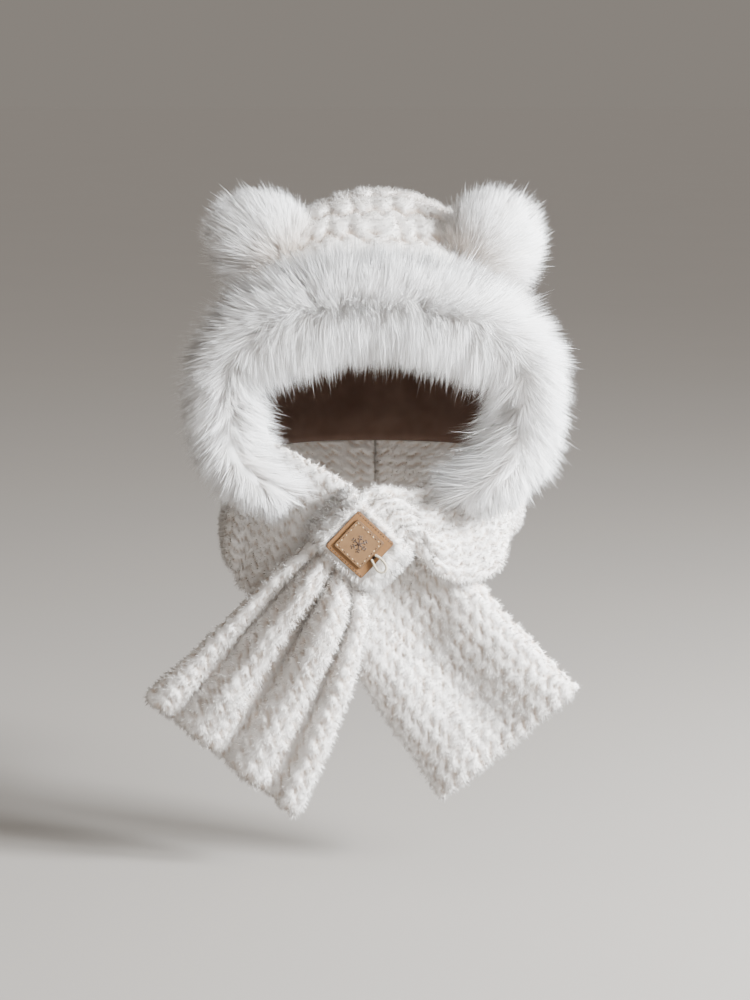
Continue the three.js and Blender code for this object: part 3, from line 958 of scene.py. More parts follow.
class HoodForm:
    """The hood's rounded body, the plane of its face opening, and the line that the fur ring follows."""

    @staticmethod
    def reach(full: float, z: Array, inset: Array) -> Array:
        """Half of the hood's size at a height towards one side.

        Above the widest level it is (full - inset) (1 - h^1.8)^(1/1.8) with h the share of the rise;
        below, full narrows to the hem by a cubic step, less inset.

        Args:
            full: Half of the size at the widest level.
            z: Heights.
            inset: Depth within the wall.

        Returns:
            The half sizes.
        """
        high = np.clip((z - WIDEST_Z) / (HOOD_RISE - inset), 0.0, 1.0)
        dome = (1.0 - high ** DOME_FULLNESS) ** (1.0 / DOME_FULLNESS)
        side = 1.0 - HEM_NARROWING / HOOD_HALF_WIDTH * smooth((WIDEST_Z - z) / (WIDEST_Z - NECK_Z))
        return np.where(z > WIDEST_Z, (full - inset) * dome, full * side - inset)

    @classmethod
    def point(cls, turn: Array, z: Array, inset: Array) -> Array:
        """Points of the body: x = reach_x sgn(sin) |sin|^(2/n), y = reach_y sgn(cos) |cos|^(2/n).

        Args:
            turn: Angle from the nape; half a turn is the face.
            z: Heights.
            inset: Depth within the wall.

        Returns:
            The points.
        """
        back = np.cos(turn) > 0
        depth = np.where(back, cls.reach(HOOD_BACK, z, inset), cls.reach(HOOD_FRONT, z, inset))
        power = 2.0 / np.where(back, BACK_FULLNESS, FRONT_FULLNESS)
        side, front = signed_power(np.sin(turn), power), signed_power(np.cos(turn), power)
        return vector_field(cls.reach(HOOD_HALF_WIDTH, z, inset) * side, depth * front, z)

    @staticmethod
    def rim_y(z: Array) -> Array:
        """Where the plane of the face opening lies at a height."""
        return -(CHEEK_FORWARD + RIM_SLOPE * (z - HEM_Z))

    @classmethod
    def wall(
        cls, outer: float, inner: float, recess: float, bottom: float, columns: int, rows: int,
        skirt: float = 0.0,
    ) -> Surface:
        """The closed wall between two depths, open at the face and at the hem.

        At each height the body runs from turn -T to T, where T = arccos(-(|y| / reach)^(3/2)) is where it
        meets the face plane, or half a turn above the opening. Each row of the grid runs round the outside
        and back round the inside.

        Args:
            outer: Depth of the outside.
            inner: Depth of the inside.
            recess: How far its edge lies behind the face plane.
            bottom: Height of its lower edge.
            columns: Points round each side.
            rows: Rows from the crown to the hem.
            skirt: How far it steps in below the hem.

        Returns:
            The surface, with the field outer, 1 on the outside.
        """
        dome = int(rows * 0.68)
        rise = np.cos(np.linspace(0.0, 0.5, dome) * math.pi) ** (2.0 / DOME_FULLNESS)
        fall = np.linspace(0.0, 1.0, rows - dome + 1)[1:]
        share = np.linspace(-1.0, 1.0, columns)
        sides = []
        for depth, way in ((outer, 1.0), (inner, -1.0)):
            high = WIDEST_Z + (HOOD_RISE - depth) * rise
            z = np.concatenate([high, WIDEST_Z + (bottom - WIDEST_Z) * fall])[:, None]
            below = smooth((HEM_Z + 3 * recess - z) / 0.008) if skirt else 0.0 * z
            inset = depth + skirt * below
            edge_y = cls.rim_y(z) + blend(recess, SKIRT_RECESS, below)
            ahead = np.abs(edge_y) / np.maximum(cls.reach(HOOD_FRONT, z, inset), 1e-6)
            end = np.arccos(-np.clip(ahead, 0.0, 1.0) ** (FRONT_FULLNESS / 2))
            sides.append(cls.point(end * share * way, z, inset))
        middle = (sides[0][-1] + sides[1][-1, ::-1]) / 2
        grid = np.concatenate([np.concatenate(sides, axis=1), [np.concatenate([middle, middle[::-1]])]])
        return Surface.from_grid(grid[:, ::-1], {"outer": np.repeat([0.0, 1.0], columns)})

    @classmethod
    def ring_point(cls, turn: Array) -> Array:
        """The fur ring's backing line: a superellipse of power 2.5, taller below than above.

        It is wider by the overhang than the face opening at its widest, where the hood's front is cut at
        a share of its reach.

        Args:
            turn: Angle from its top towards +X.

        Returns:
            The points, all with y = 0.
        """
        share = abs(cls.rim_y(WIDEST_Z)) / HOOD_FRONT
        half = HOOD_HALF_WIDTH * (1 - share ** FRONT_FULLNESS) ** (1 / FRONT_FULLNESS) + TRIM_OVERHANG
        side, up = (signed_power(wave(turn), 2.0 / RING_ROUNDNESS) for wave in (np.sin, np.cos))
        return vector_field(half * side, 0.0, RING_CENTRE_Z + np.where(up > 0, RING_RISE, RING_FALL) * up)

    @classmethod
    def ring_axes(cls, turn: Array) -> Tuple[Array, Array]:
        """Two ways at the ring's line: outwards in its own plane, and along it from its top to its ends.

        Args:
            turn: Angle from its top towards +X.

        Returns:
            The unit vectors of both.
        """
        along = unit(cls.ring_point(turn + 0.02) - cls.ring_point(turn - 0.02))
        return vector_field(-along[..., 2], 0.0, along[..., 0]), along * np.sign(turn)[..., None]


@dataclass
class Hood:
    """The plush hood: a wall with rows of tufts from ear to ear, its pile, and the lining."""

    finishes: Finishes
    weave: TuftWeave = TuftWeave(row=math.radians(6.3), tuft=math.radians(2.1), zigzag=0.16)
    pivot: float = -0.260
    first_row: float = math.radians(10.9)
    relief: float = 0.0066
    billow: float = 0.0012
    sag: float = 0.0021
    pile: Pile = Pile(90000, 0.0064, 0.0009, upright=0.55, stray=0.30, comb=(0.0, -0.15, -0.35))

    def tufts(self, points: Array) -> Tuple[Array, Array]:
        """Height and valleys of the rows, which fan about a line through the pivot below the hood.

        The row number follows atan2(-y, z - pivot) and the tufts follow atan2(x, |y, z - pivot|).

        Args:
            points: Points of the hood.

        Returns:
            Height and valley, each from 0 to 1.
        """
        x, y, z = points.T
        up = z - self.pivot
        wander = value_noise(points, 0.024, 5) * 0.020
        across = np.arctan2(-y, up) - self.first_row + wander
        return self.weave.relief(np.arctan2(x, np.hypot(y, up)) + wander, across, 31)

    @staticmethod
    def stretch(piece: bpy.types.Object, wall: Surface, **rest: Any) -> None:
        """Work out the flat area of cloth stretched over a wall, half of the wall's area; the result is not
        kept.

        Args:
            piece: The cloth; not used.
            wall: The wall, outside and inside.
            rest: What else is said of the sheet; not used.
        """
        flat = wall.area() / 2

    def build(self) -> None:
        """Build the plush with its pile, and the lining."""
        wall = HoodForm.wall(PLUSH_DEPTH, SHELL_WALL, 0.0, HEM_Z, 168, 84)
        height, valley = self.tufts(wall.points)
        outer = wall.fields["outer"]
        billow = value_noise(wall.points, 0.045, 11) * self.billow
        # Painted shade: the wall takes the fibres' colour part way down the pile, and the tufts' valleys on
        # the outside are darkened.
        body = wall.raised(outer * (self.relief * height + billow)).tinted(0.55, 0.5, valley * outer)
        plush = self.finishes.plush.piece(body, "hood_plush", "hood_shell")
        fuzz = self.finishes.plush.piece(self.pile.grow(body, 41, outer ** 4), "hood_pile")
        self.stretch(plush, wall, with_pieces=[fuzz])
        depth, bottom = SHELL_WALL + SEAM, HEM_Z - LINING_DROP
        cloth = HoodForm.wall(depth, depth + LINING_WALL, LINING_RECESS, bottom, 64, 44, COLLAR_CLEARANCE)
        cloth.points = cloth.points * (1.0 - np.abs(value_noise(cloth.points, 0.035, 3))[:, None] * self.sag)
        self.stretch(self.finishes.lining.piece(cloth, "lining_cloth", "hood_lining"), cloth)


class FurRow(NamedTuple):
    """How long the ring's strands are at an angle from its top.

    Outer are those combed outwards, left and right those combed into the opening on either side.
    """

    turn: float
    outer: float
    left: float
    right: float


@dataclass
class FurRing:
    """The long fur round the face opening: a backing roll, and strands that part along its front."""

    finishes: Finishes
    coat: Coat = Coat(5700, 19, spread=0.0036, lengths=(0.62, 1.15), grip=0.30, flow=0.26, flow_size=0.026)
    fill: float = 0.55
    cheek_parting: float = 0.78
    parting_blur: float = 0.34
    seed: int = 7
    rows: Tuple[FurRow, ...] = (
        FurRow(0, 0.036, 0.036, 0.036),
        FurRow(22, 0.035, 0.042, 0.042),
        FurRow(38, 0.033, 0.045, 0.045),
        FurRow(50, 0.031, 0.042, 0.042),
        FurRow(65, 0.027, 0.041, 0.040),
        FurRow(85, 0.023, 0.046, 0.044),
        FurRow(110, 0.023, 0.046, 0.060),
        FurRow(130, 0.021, 0.052, 0.070),
        FurRow(148, 0.017, 0.050, 0.060),
    )

    @staticmethod
    def brow_share(turn: Array) -> Array:
        """How much a place belongs to the brow: 1 at the top, 0 from 80 degrees on."""
        return smooth(1.0 - np.abs(turn) / math.radians(80))

    @staticmethod
    def end_share(turn: Array) -> Array:
        """How much a place belongs to the ring's ends: 0 up to 95 degrees, 1 from 140 on."""
        return smooth((np.abs(turn) - math.radians(95)) / math.radians(45))

    def roll(self) -> Surface:
        """The backing roll: the ring's section, filled to a share of the fur's reach.

        p = centre + out reach fill cos(psi), and y steps forward from the hood's edge by the pile's
        depth times sin(psi).

        Returns:
            The surface, with the fields turn, side (cos psi) and lift (sin psi).
        """
        share = np.linspace(0.0, 1.0, 140)[:, None]
        psi = once_round(24)
        turn, lift = blend(-RING_END_TURN, RING_END_TURN, share), np.sin(psi)
        reach = blend(TRIM_CHEEK_REACH, TRIM_BROW_REACH, self.brow_share(turn))
        reach = blend(reach, TRIM_END_REACH, self.end_share(turn))
        full = np.sqrt(np.clip(1.0 - np.abs(2.0 * share - 1.0) ** 14, 0.0, 1.0))
        spread = reach * self.fill * full * np.cos(psi)
        grid = HoodForm.ring_point(turn) + HoodForm.ring_axes(turn)[0] * spread[..., None]
        z = grid[..., 2]
        rim = HoodForm.rim_y(z) - SEAM
        below = smooth((HEM_Z + TRIM_END_DROP * 0.45 - z) / (TRIM_END_DROP * 1.35))
        back = blend(rim, np.minimum(rim, COLLAR_FRONT_Y + SCARF_PILE * 0.2), below)
        pile = TRIM_PILE * self.fill
        middle = back - pile * 0.35
        behind = np.minimum(back, middle - pile * lift)
        grid[..., 1] = np.where(lift > 0, middle - pile * lift * full, behind)
        return Surface.from_grid(grid, dict(zip(RING_FIELDS, (turn, np.cos(psi), lift))))

    def strands(self, roll: Surface) -> Strands:
        """Grow the strands: denser along the brow's crest and on the right end's inner side.

        Each leans out or in by which side of the parting it stands on, the outer ones sweep down along
        the ring, and a slow noise lets them flow.

        Args:
            roll: The backing roll.

        Returns:
            The strands.
        """
        rng = np.random.default_rng(self.seed)
        turn, side, lift = (roll.fields[key] for key in RING_FIELDS)
        crest = 1.0 + 1.5 * self.brow_share(turn) * smooth(1.0 - np.abs(side) / 0.5)
        flap = smooth(-side / 0.7) * smooth((turn - math.radians(92)) / 0.4)
        front = smooth((lift + 0.95) / 0.5) * (crest + 0.9 * flap)
        clumps = self.coat.clumps
        root, normal, fields = roll.sample(rng, clumps, front)
        turn, side, lift = (fields[key] for key in RING_FIELDS)
        brow, end, angle = self.brow_share(turn), self.end_share(turn), np.degrees(np.abs(turn))
        out, down = HoodForm.ring_axes(turn)
        drawn = side + self.cheek_parting * (1.0 - brow) + rng.normal(0.0, self.parting_blur, clumps)
        lean = drawn / (np.abs(drawn) + 0.25)
        outwards, sweep = np.clip(lean, 0.0, 1.0), smooth(angle / 50)
        fall = sweep * (0.18 + 0.52 * outwards + 0.9 * end * (1.0 - outwards))
        way = out * lean[:, None] + down * fall[:, None]
        way += normal * (0.32 + 0.15 * brow * (1.0 - np.abs(lean)))[:, None]
        way[:, 1] -= 0.12 + 0.36 * np.clip(lift, -0.35, 1.0)
        way[:, 2] -= 0.10 + 0.55 * (1.0 - outwards) * sweep * smooth((100 - angle) / 40)
        way = self.coat.flowing(rng, root, way, 71)
        stops, *lengths = np.array(self.rows).T
        outer, left, right = (np.interp(angle, stops, values) for values in lengths)
        inner = np.where(turn < 0, left, right) * (1.0 - 0.3 * np.clip(-side, 0.0, 1.0))
        length = blend(inner, outer, smooth((lean + 0.6) / 1.2)) * rng.uniform(0.82, 1.12, clumps)
        bend = out * (lean * 0.22)[:, None]
        bend[:, 1] += 0.20 * np.clip(lift, 0.0, 1.0)
        bend[:, 2] -= 0.16
        return self.coat.grow(rng, root, normal, way, length, bend, np.zeros(clumps))

    def build(self) -> None:
        """Build the backing, and the fur in a left and a right piece."""
        roll = self.roll()
        # The backing takes the fibres' colour near the tips: a little painted shade.
        self.finishes.fur.piece(roll.tinted(0.75, 0.4, 0.0), "trim_backing", "fur_trim")
        strands = self.strands(roll)
        left = strands.root[strands.leader, 0] < 0
        for name, mask in (("trim_fur_left", left), ("trim_fur_right", ~left)):
            self.finishes.fur.piece(strands.chosen(mask), name)


@dataclass
class Ear:
    """A round ear: a flattened ball whose strands spread from the seam with the hood."""

    finishes: Finishes
    name: str
    angle: float
    seed: int
    coat: Coat = Coat(1150, 18, spread=0.0034, lengths=(0.65, 1.12), grip=0.28, flow=0.22, flow_size=0.02)
    strand_length: float = 0.030
    size: Tuple[float, float, float] = (0.034, 0.020, 0.034)
    seam_depth: float = 0.036

    def centre(self) -> Array:
        """The ear's middle, on the hood's outline at its angle from upright.

        Returns:
            The point.
        """
        turn = math.radians(self.angle)
        across = (abs(math.sin(turn)) / HOOD_HALF_WIDTH) ** DOME_FULLNESS
        upwards = (math.cos(turn) / HOOD_RISE) ** DOME_FULLNESS
        distance = (across + upwards) ** (-1.0 / DOME_FULLNESS) + EAR_STAND
        return np.array([distance * math.sin(turn), -EAR_FORWARD, WIDEST_Z + distance * math.cos(turn)])

    def build(self) -> None:
        """Build the backing ball and its fur, with painted shade on the strands where they leave the seam.
        """
        rng = np.random.default_rng(self.seed)
        centre, clumps = self.centre(), self.coat.clumps
        inwards = unit(np.array([0.0, -EAR_FORWARD, WIDEST_Z]) - centre)
        polar, turn = np.linspace(0.0, math.pi, 25)[:, None], once_round(48)
        ball = vector_field(np.sin(polar) * np.cos(turn), -np.cos(polar), np.sin(polar) * np.sin(turn))
        middle = centre + inwards * 0.005
        base = Surface.from_grid(middle + ball * np.array(self.size))
        # The backing takes the fibres' colour near the tips: a little painted shade.
        self.finishes.fur.piece(base.tinted(0.7, 0.4, 0.0), self.name + "_backing", self.name)
        seam = centre + inwards * self.seam_depth
        root, normal, _ = base.sample(rng, clumps)
        fan = unit(root - seam)
        along = unit(fan - normal * np.sum(fan * normal, axis=1, keepdims=True) * 0.7)
        way = self.coat.flowing(rng, root, along * 0.9 + normal * 0.45, self.seed)
        rise = np.clip(np.sum((root - middle) * -inwards, axis=1) / self.size[0], -1.0, 1.0)
        length = self.strand_length * rng.uniform(0.85, 1.12, clumps) * (0.95 + 0.05 * rise)
        # Painted shade on the strands near the seam, carried as their valley.
        shade = smooth(1.25 - np.linalg.norm(root - seam, axis=1) / self.seam_depth) * 0.8
        bend = np.array([0.0, 0.0, -0.04]) - 0.10 * normal
        strands = self.coat.grow(rng, root, normal, way, length, bend, shade)
        self.finishes.fur.piece(strands, self.name + "_fur")


class CollarSection(NamedTuple):
    """A section along the hem: degrees from the nape, and shares of the scarf's width."""

    turn: float
    flare: float
    tuck: float
    drop: float


class RunSection(NamedTuple):
    """A section past the hem, from the keeper's middle in shares of the scarf's width.

    The upper edge is at ux, uy, uz and the lower edge at lx, ly, lz; y is from the crossing. Pile and fold
    are factors.
    """

    ux: float
    uy: float
    uz: float
    lx: float
    ly: float
    lz: float
    pile: float
    fold: float


LEFT_COLLAR = tuple(CollarSection(*row) for row in (
    (0, 0.05, 0.02, 0.60),
    (30, 0.07, 0.02, 0.60),
    (60, 0.10, 0.03, 0.60),
    (88, 0.14, 0.05, 0.64),
    (108, 0.17, 0.06, 0.70),
    (118, 0.17, 0.06, 0.75),
))
RIGHT_COLLAR = tuple(CollarSection(*row) for row in (
    (0, 0.05, 0.02, 0.60),
    (30, 0.06, 0.02, 0.59),
    (60, 0.07, 0.03, 0.56),
    (88, 0.08, 0.04, 0.54),
    (108, 0.09, 0.04, 0.54),
    (118, 0.09, 0.04, 0.57),
))
LEFT_RUN = tuple(RunSection(*row) for row in (
    (-0.43, 0.12, 0.48, -0.66, 0.14, -0.31, 1, 0),
    (-0.22, 0.06, 0.36, -0.46, 0.03, -0.38, 1, 0),
    (-0.02, 0.01, 0.25, -0.26, 0, -0.46, 1, 0),
    (0.22, 0, 0.13, -0.14, 0, -0.55, 1, 0),
    (0.38, 0.04, -0.01, -0.09, 0, -0.64, 1, 0.2),
    (0.49, 0.06, -0.14, -0.04, 0, -0.73, 1, 0.6),
    (0.85, 0.03, -0.50, 0.20, -0.02, -1.09, 1, 1),
    (1.21, -0.04, -0.86, 0.46, -0.06, -1.48, 1, 1),
))
RIGHT_RUN = tuple(RunSection(*row) for row in (
    (0.60, 0.12, 0.47, 0.78, 0.04, -0.18, 1, 0),
    (0.46, 0.06, 0.35, 0.57, -0.08, -0.23, 1, 0.2),
    (0.27, -0.05, 0.26, 0.42, -0.14, -0.16, 1.05, 0.6),
    (0.055, -0.125, 0.277, 0.285, -0.145, 0.05, 1.1, 0.7),
    (-0.12, -0.14, 0.125, 0.12, -0.145, -0.125, 1.1, 0.7),
    (-0.235, -0.14, 0.005, -0.005, -0.145, -0.235, 1.1, 0.8),
    (-0.48, -0.14, -0.19, 0.03, -0.15, -0.45, 1.1, 1.6),
    (-0.72, -0.12, -0.43, -0.05, -0.14, -0.77, 1, 1.6),
    (-0.95, -0.10, -0.67, -0.19, -0.13, -1.15, 1, 1.3),
    (-1.18, -0.09, -0.90, -0.37, -0.12, -1.56, 1, 1),
))


@dataclass
class ScarfHalf:
    """One half of the scarf: a plush strip from the nape round the neck and down to the end of its tail."""

    finishes: Finishes
    name: str
    node: str
    hand: float
    collar: Tuple[CollarSection, ...]
    run: Tuple[RunSection, ...]
    fold_height: float
    folds: int
    seed: int
    weave: TuftWeave = TuftWeave(row=0.0135, tuft=0.0068)
    relief: float = 0.0042
    billow: float = 0.0034
    fill: float = 0.62
    pile: Pile = Pile(94000, 0.0048, 0.0008, upright=0.80, stray=0.38, comb=(0.0, -0.12, -0.22))
    columns: int = 70
    rows: int = 230

    def stations(self) -> Tuple[Array, Array, Array]:
        """Turn the tables into stations.

        Returns:
            The upper edge, waist, belly and lower edge, shape (4, stations, 3), the piles and the folds.
        """
        width, still = SCARF_WIDTH, len(self.collar)
        edges = np.zeros((4, still + len(self.run), 3))
        for k, section in enumerate(self.collar):
            turn = np.array(self.hand * math.radians(section.turn))
            upper = HoodForm.point(turn, np.array(HEM_Z - 2 * SEAM), SHELL_WALL / 2)
            out = unit(upper * np.array([1.0, 1.0, 0.0])) * width
            edges[:, k] = upper + np.outer([0.0, 0.0, section.flare, section.flare - section.tuck], out)
            edges[1:, k, 2] = HEM_Z - section.drop * width * np.array([0.35, 0.75, 1.0])
            if section.turn == 0:
                edges[:, k, 0] = self.hand * SEAM
        run, origin = np.array(self.run), np.array([KEEPER_X, -CROSS_FORWARD, KEEPER_Z])
        upper, lower = origin + width * run[:, 0:3], origin + width * run[:, 3:6]
        edges[:, still:] = blend(upper, lower, np.array([0.0, 1 / 3, 2 / 3, 1.0])[:, None, None])
        piles = np.append(np.ones(still), run[:, 6]) * SCARF_PILE
        return edges, piles, np.append(np.zeros(still), run[:, 7]) * self.fold_height

    @staticmethod
    def middle(edges: Array, s: Array, q: Array) -> Array:
        """The strip's middle surface: a cubic Bezier curve across, between the four edges' curves.

        Args:
            edges: The four edges' stations.
            s: From 0 to 1 along.
            q: From -1 to 1 across.

        Returns:
            The points.
        """
        t = ((q + 1) / 2)[..., None]
        shares = ((1 - t) ** 3, 3 * t * (1 - t) ** 2, 3 * t ** 2 * (1 - t), t ** 3)
        return sum(catmull_rom(edge, s) * share for edge, share in zip(edges, shares))

    def strip(self) -> Surface:
        """The strip as a closed pillow whose thickness ends softly at every border.

        p = middle + normal (wave +- fill pile / 2 round), with round = sqrt(1 - |q|^5) sqrt(1 - |2v-1|^120)
        and wave = 1.3 fold (1 - 2 w^1.8) (1 - q^6), where w = (1 - cos(folds pi (q + 1))) / 2 makes the
        pleats' tops broad and their valleys narrow.

        Returns:
            The surface, with the fields flat_along, flat_across and face (1 in front, -1 behind).
        """
        edges, piles, folds = self.stations()
        v = np.linspace(0.0, 1.0, self.rows)[:, None]
        u = np.linspace(0.0, 2.0, self.columns * 2 + 1)[:-1][None]
        face = np.where(u <= 1.0, 1.0, -1.0)
        q = np.sin((np.where(u <= 1.0, u, 2.0 - u) - 0.5) * math.pi) + 0.0 * v
        s = 0.5 + 0.15 * np.sin((v - 0.5) * math.pi) + (v - 0.5) * 0.7 + 0.0 * u
        place = s * (len(piles) - 1)
        low = np.minimum(np.floor(place).astype(int), len(piles) - 2)
        share = smooth(place - low)
        pile, fold = (blend(values[low], values[low + 1], share) for values in (piles, folds))
        ahead, behind = (self.middle(edges, np.clip(s + step, 0.0, 1.0), q) for step in (STEP, -STEP))
        right, left = (self.middle(edges, s, np.clip(q + step, -1.0, 1.0)) for step in (STEP, -STEP))
        normal = unit(np.cross(ahead - behind, right - left)) * self.hand
        edge = np.sqrt(1.0 - np.abs(q) ** 5) * np.sqrt(np.clip(1.0 - np.abs(2.0 * v - 1.0) ** 120, 0.0, 1.0))
        dip = (1.0 - np.cos(self.folds * math.pi * (q + 1))) / 2.0
        lift = fold * 1.3 * (1.0 - 2.0 * dip ** 1.8) * (1.0 - q ** 6) + pile / 2 * self.fill * edge * face
        grid = self.middle(edges, s, q) + normal * lift[..., None]
        run = distances(self.middle(edges, s[:, 0], 0.0 * s[:, 0]))[:, None]
        fields = {"flat_along": run, "flat_across": (q + 1) / 2 * SCARF_WIDTH, "face": face}
        return Surface.from_grid(grid, fields)

    def build(self) -> None:
        """Build the half, which keeps to its own side of the nape, with its pile."""
        strip = self.strip()
        flat_along, flat_across, face = strip.fields.values()
        wander = value_noise(strip.points, 0.022, self.seed) * 0.0028
        height, valley = self.weave.relief(flat_along + wander, flat_across + wander, self.seed)
        billow = value_noise(strip.points, 0.042, self.seed + 1) * self.billow
        covered = smooth((strip.points[:, 2] - HEM_Z + LINING_DROP + 0.002) / 0.005) * (face < 0)
        # Painted shade: the fibres' colour part way down the pile, and darkening in the tufts' valleys.
        body = strip.raised(blend(self.relief * height + billow, -0.001, covered)).tinted(0.55, 0.5, valley)
        x, y, _ = body.points.T
        body.points[:, 0] = np.where(y > 0.0, np.maximum(x * self.hand, SEAM) * self.hand, x)
        cloth = self.finishes.plush.piece(body, self.name, self.node)
        pile = self.pile.grow(body, self.seed + 2, (0.75 + 0.25 * face) * (1.0 - covered))
        fuzz = self.finishes.plush.piece(pile, self.name + "_pile")


@dataclass(frozen=True)
class KeeperPlane:
    """Axes on the front of the keeper: a across it, b along it, out towards the viewer."""

    turn: float
    y: float

    def axes(self) -> Array:
        """Give the unit vectors across, along and out, one a row."""
        c, s = math.cos(math.radians(self.turn)), math.sin(math.radians(self.turn))
        return np.array([[c, 0.0, -s], [s, 0.0, c], [0.0, -1.0, 0.0]])

    def place(self, a: Array, b: Array, out: Array) -> Array:
        """Place points by their distances across, along and towards the viewer."""
        return np.array([KEEPER_X, self.y, KEEPER_Z]) + vector_field(a, b, out) @ self.axes()


@dataclass
class Keeper:
    """The padded plush band that holds the crossing."""

    finishes: Finishes
    weave: TuftWeave = TuftWeave(row=0.0120, tuft=0.0055)
    relief: float = 0.0032
    pile: Pile = Pile(30000, 0.0055, 0.0008, upright=0.7, stray=0.5, comb=(0.0, -0.05, -0.20))

    @staticmethod
    def band() -> Surface:
        """The band: a flat rounded section swept along an arch of |x/half|^4 + |h/height|^4 = 1.

        Returns:
            The surface, with the fields flat_along and flat_across.
        """
        bend = np.linspace(0.0, math.pi, 90)
        half = BUNDLE_HALF_WIDTH + KEEPER_CLEARANCE + KEEPER_WALL / 2
        rise = BUNDLE_DEPTH + KEEPER_WALL / 2
        arch = np.stack([half * signed_power(np.cos(bend), 0.5), rise * np.sin(bend) ** 0.5], axis=1)
        way = unit(np.gradient(arch, axis=0))
        beta = once_round(56)
        thin = np.sin(bend)[:, None] ** 0.12
        wall = KEEPER_WALL / 2 * 0.8 * signed_power(np.sin(beta), 0.7) * thin
        along = KEEPER_WIDTH / 2 * 0.94 * signed_power(np.cos(beta), 0.55) * (0.9 + 0.1 * thin)
        a, h = arch[:, :1] + way[:, 1:] * wall, arch[:, 1:] - way[:, :1] * wall
        grid = KeeperPlane(KEEPER_ANGLE, COLLAR_FRONT_Y - SEAM).place(a, along, np.maximum(h, 0.0))
        return Surface.from_grid(grid, {"flat_along": distances(arch)[:, None], "flat_across": along})

    def build(self) -> None:
        """Build the band, flat and bare under the label, and its pile, combed away from the label."""
        band, middle = self.band(), np.array([KEEPER_X, 0.0, KEEPER_Z])
        height, valley = self.weave.relief(*band.fields.values(), 61)
        soft = value_noise(band.points, 0.014, 61) * 0.0010 + height * self.relief
        across, along, _ = KeeperPlane(LABEL_TURN, 0.0).axes()
        offset = band.points - middle
        from_label = np.maximum(np.abs(offset @ across), np.abs(offset @ along)) - LABEL_SIDE / 2
        front_y = KEEPER_FACE_Y + KEEPER_WALL / 2
        front = band.points[:, 1] < front_y
        under = np.where(front, smooth(0.5 - from_label / 0.006), 0.0)
        # Painted shade in the tufts' valleys, none under the label.
        body = band.raised(soft * (1.0 - under) - 0.0006 * under).tinted(0.6, 0.5, valley * (1.0 - under))
        cloth = self.finishes.plush.piece(body, "keeper_plush", "keeper_band")
        pile = self.pile.grow(body, 63, np.where(front & (from_label < 0.0004), 0.0, 1.0))
        away = (pile.root - middle) * np.array([1.0, 0.0, 1.0])
        near = np.where(pile.root[:, 1] < front_y, 0.9, 0.0)
        pile.direction = unit(pile.direction + unit(away) * near[:, None])
        self.finishes.plush.piece(pile, "keeper_pile")


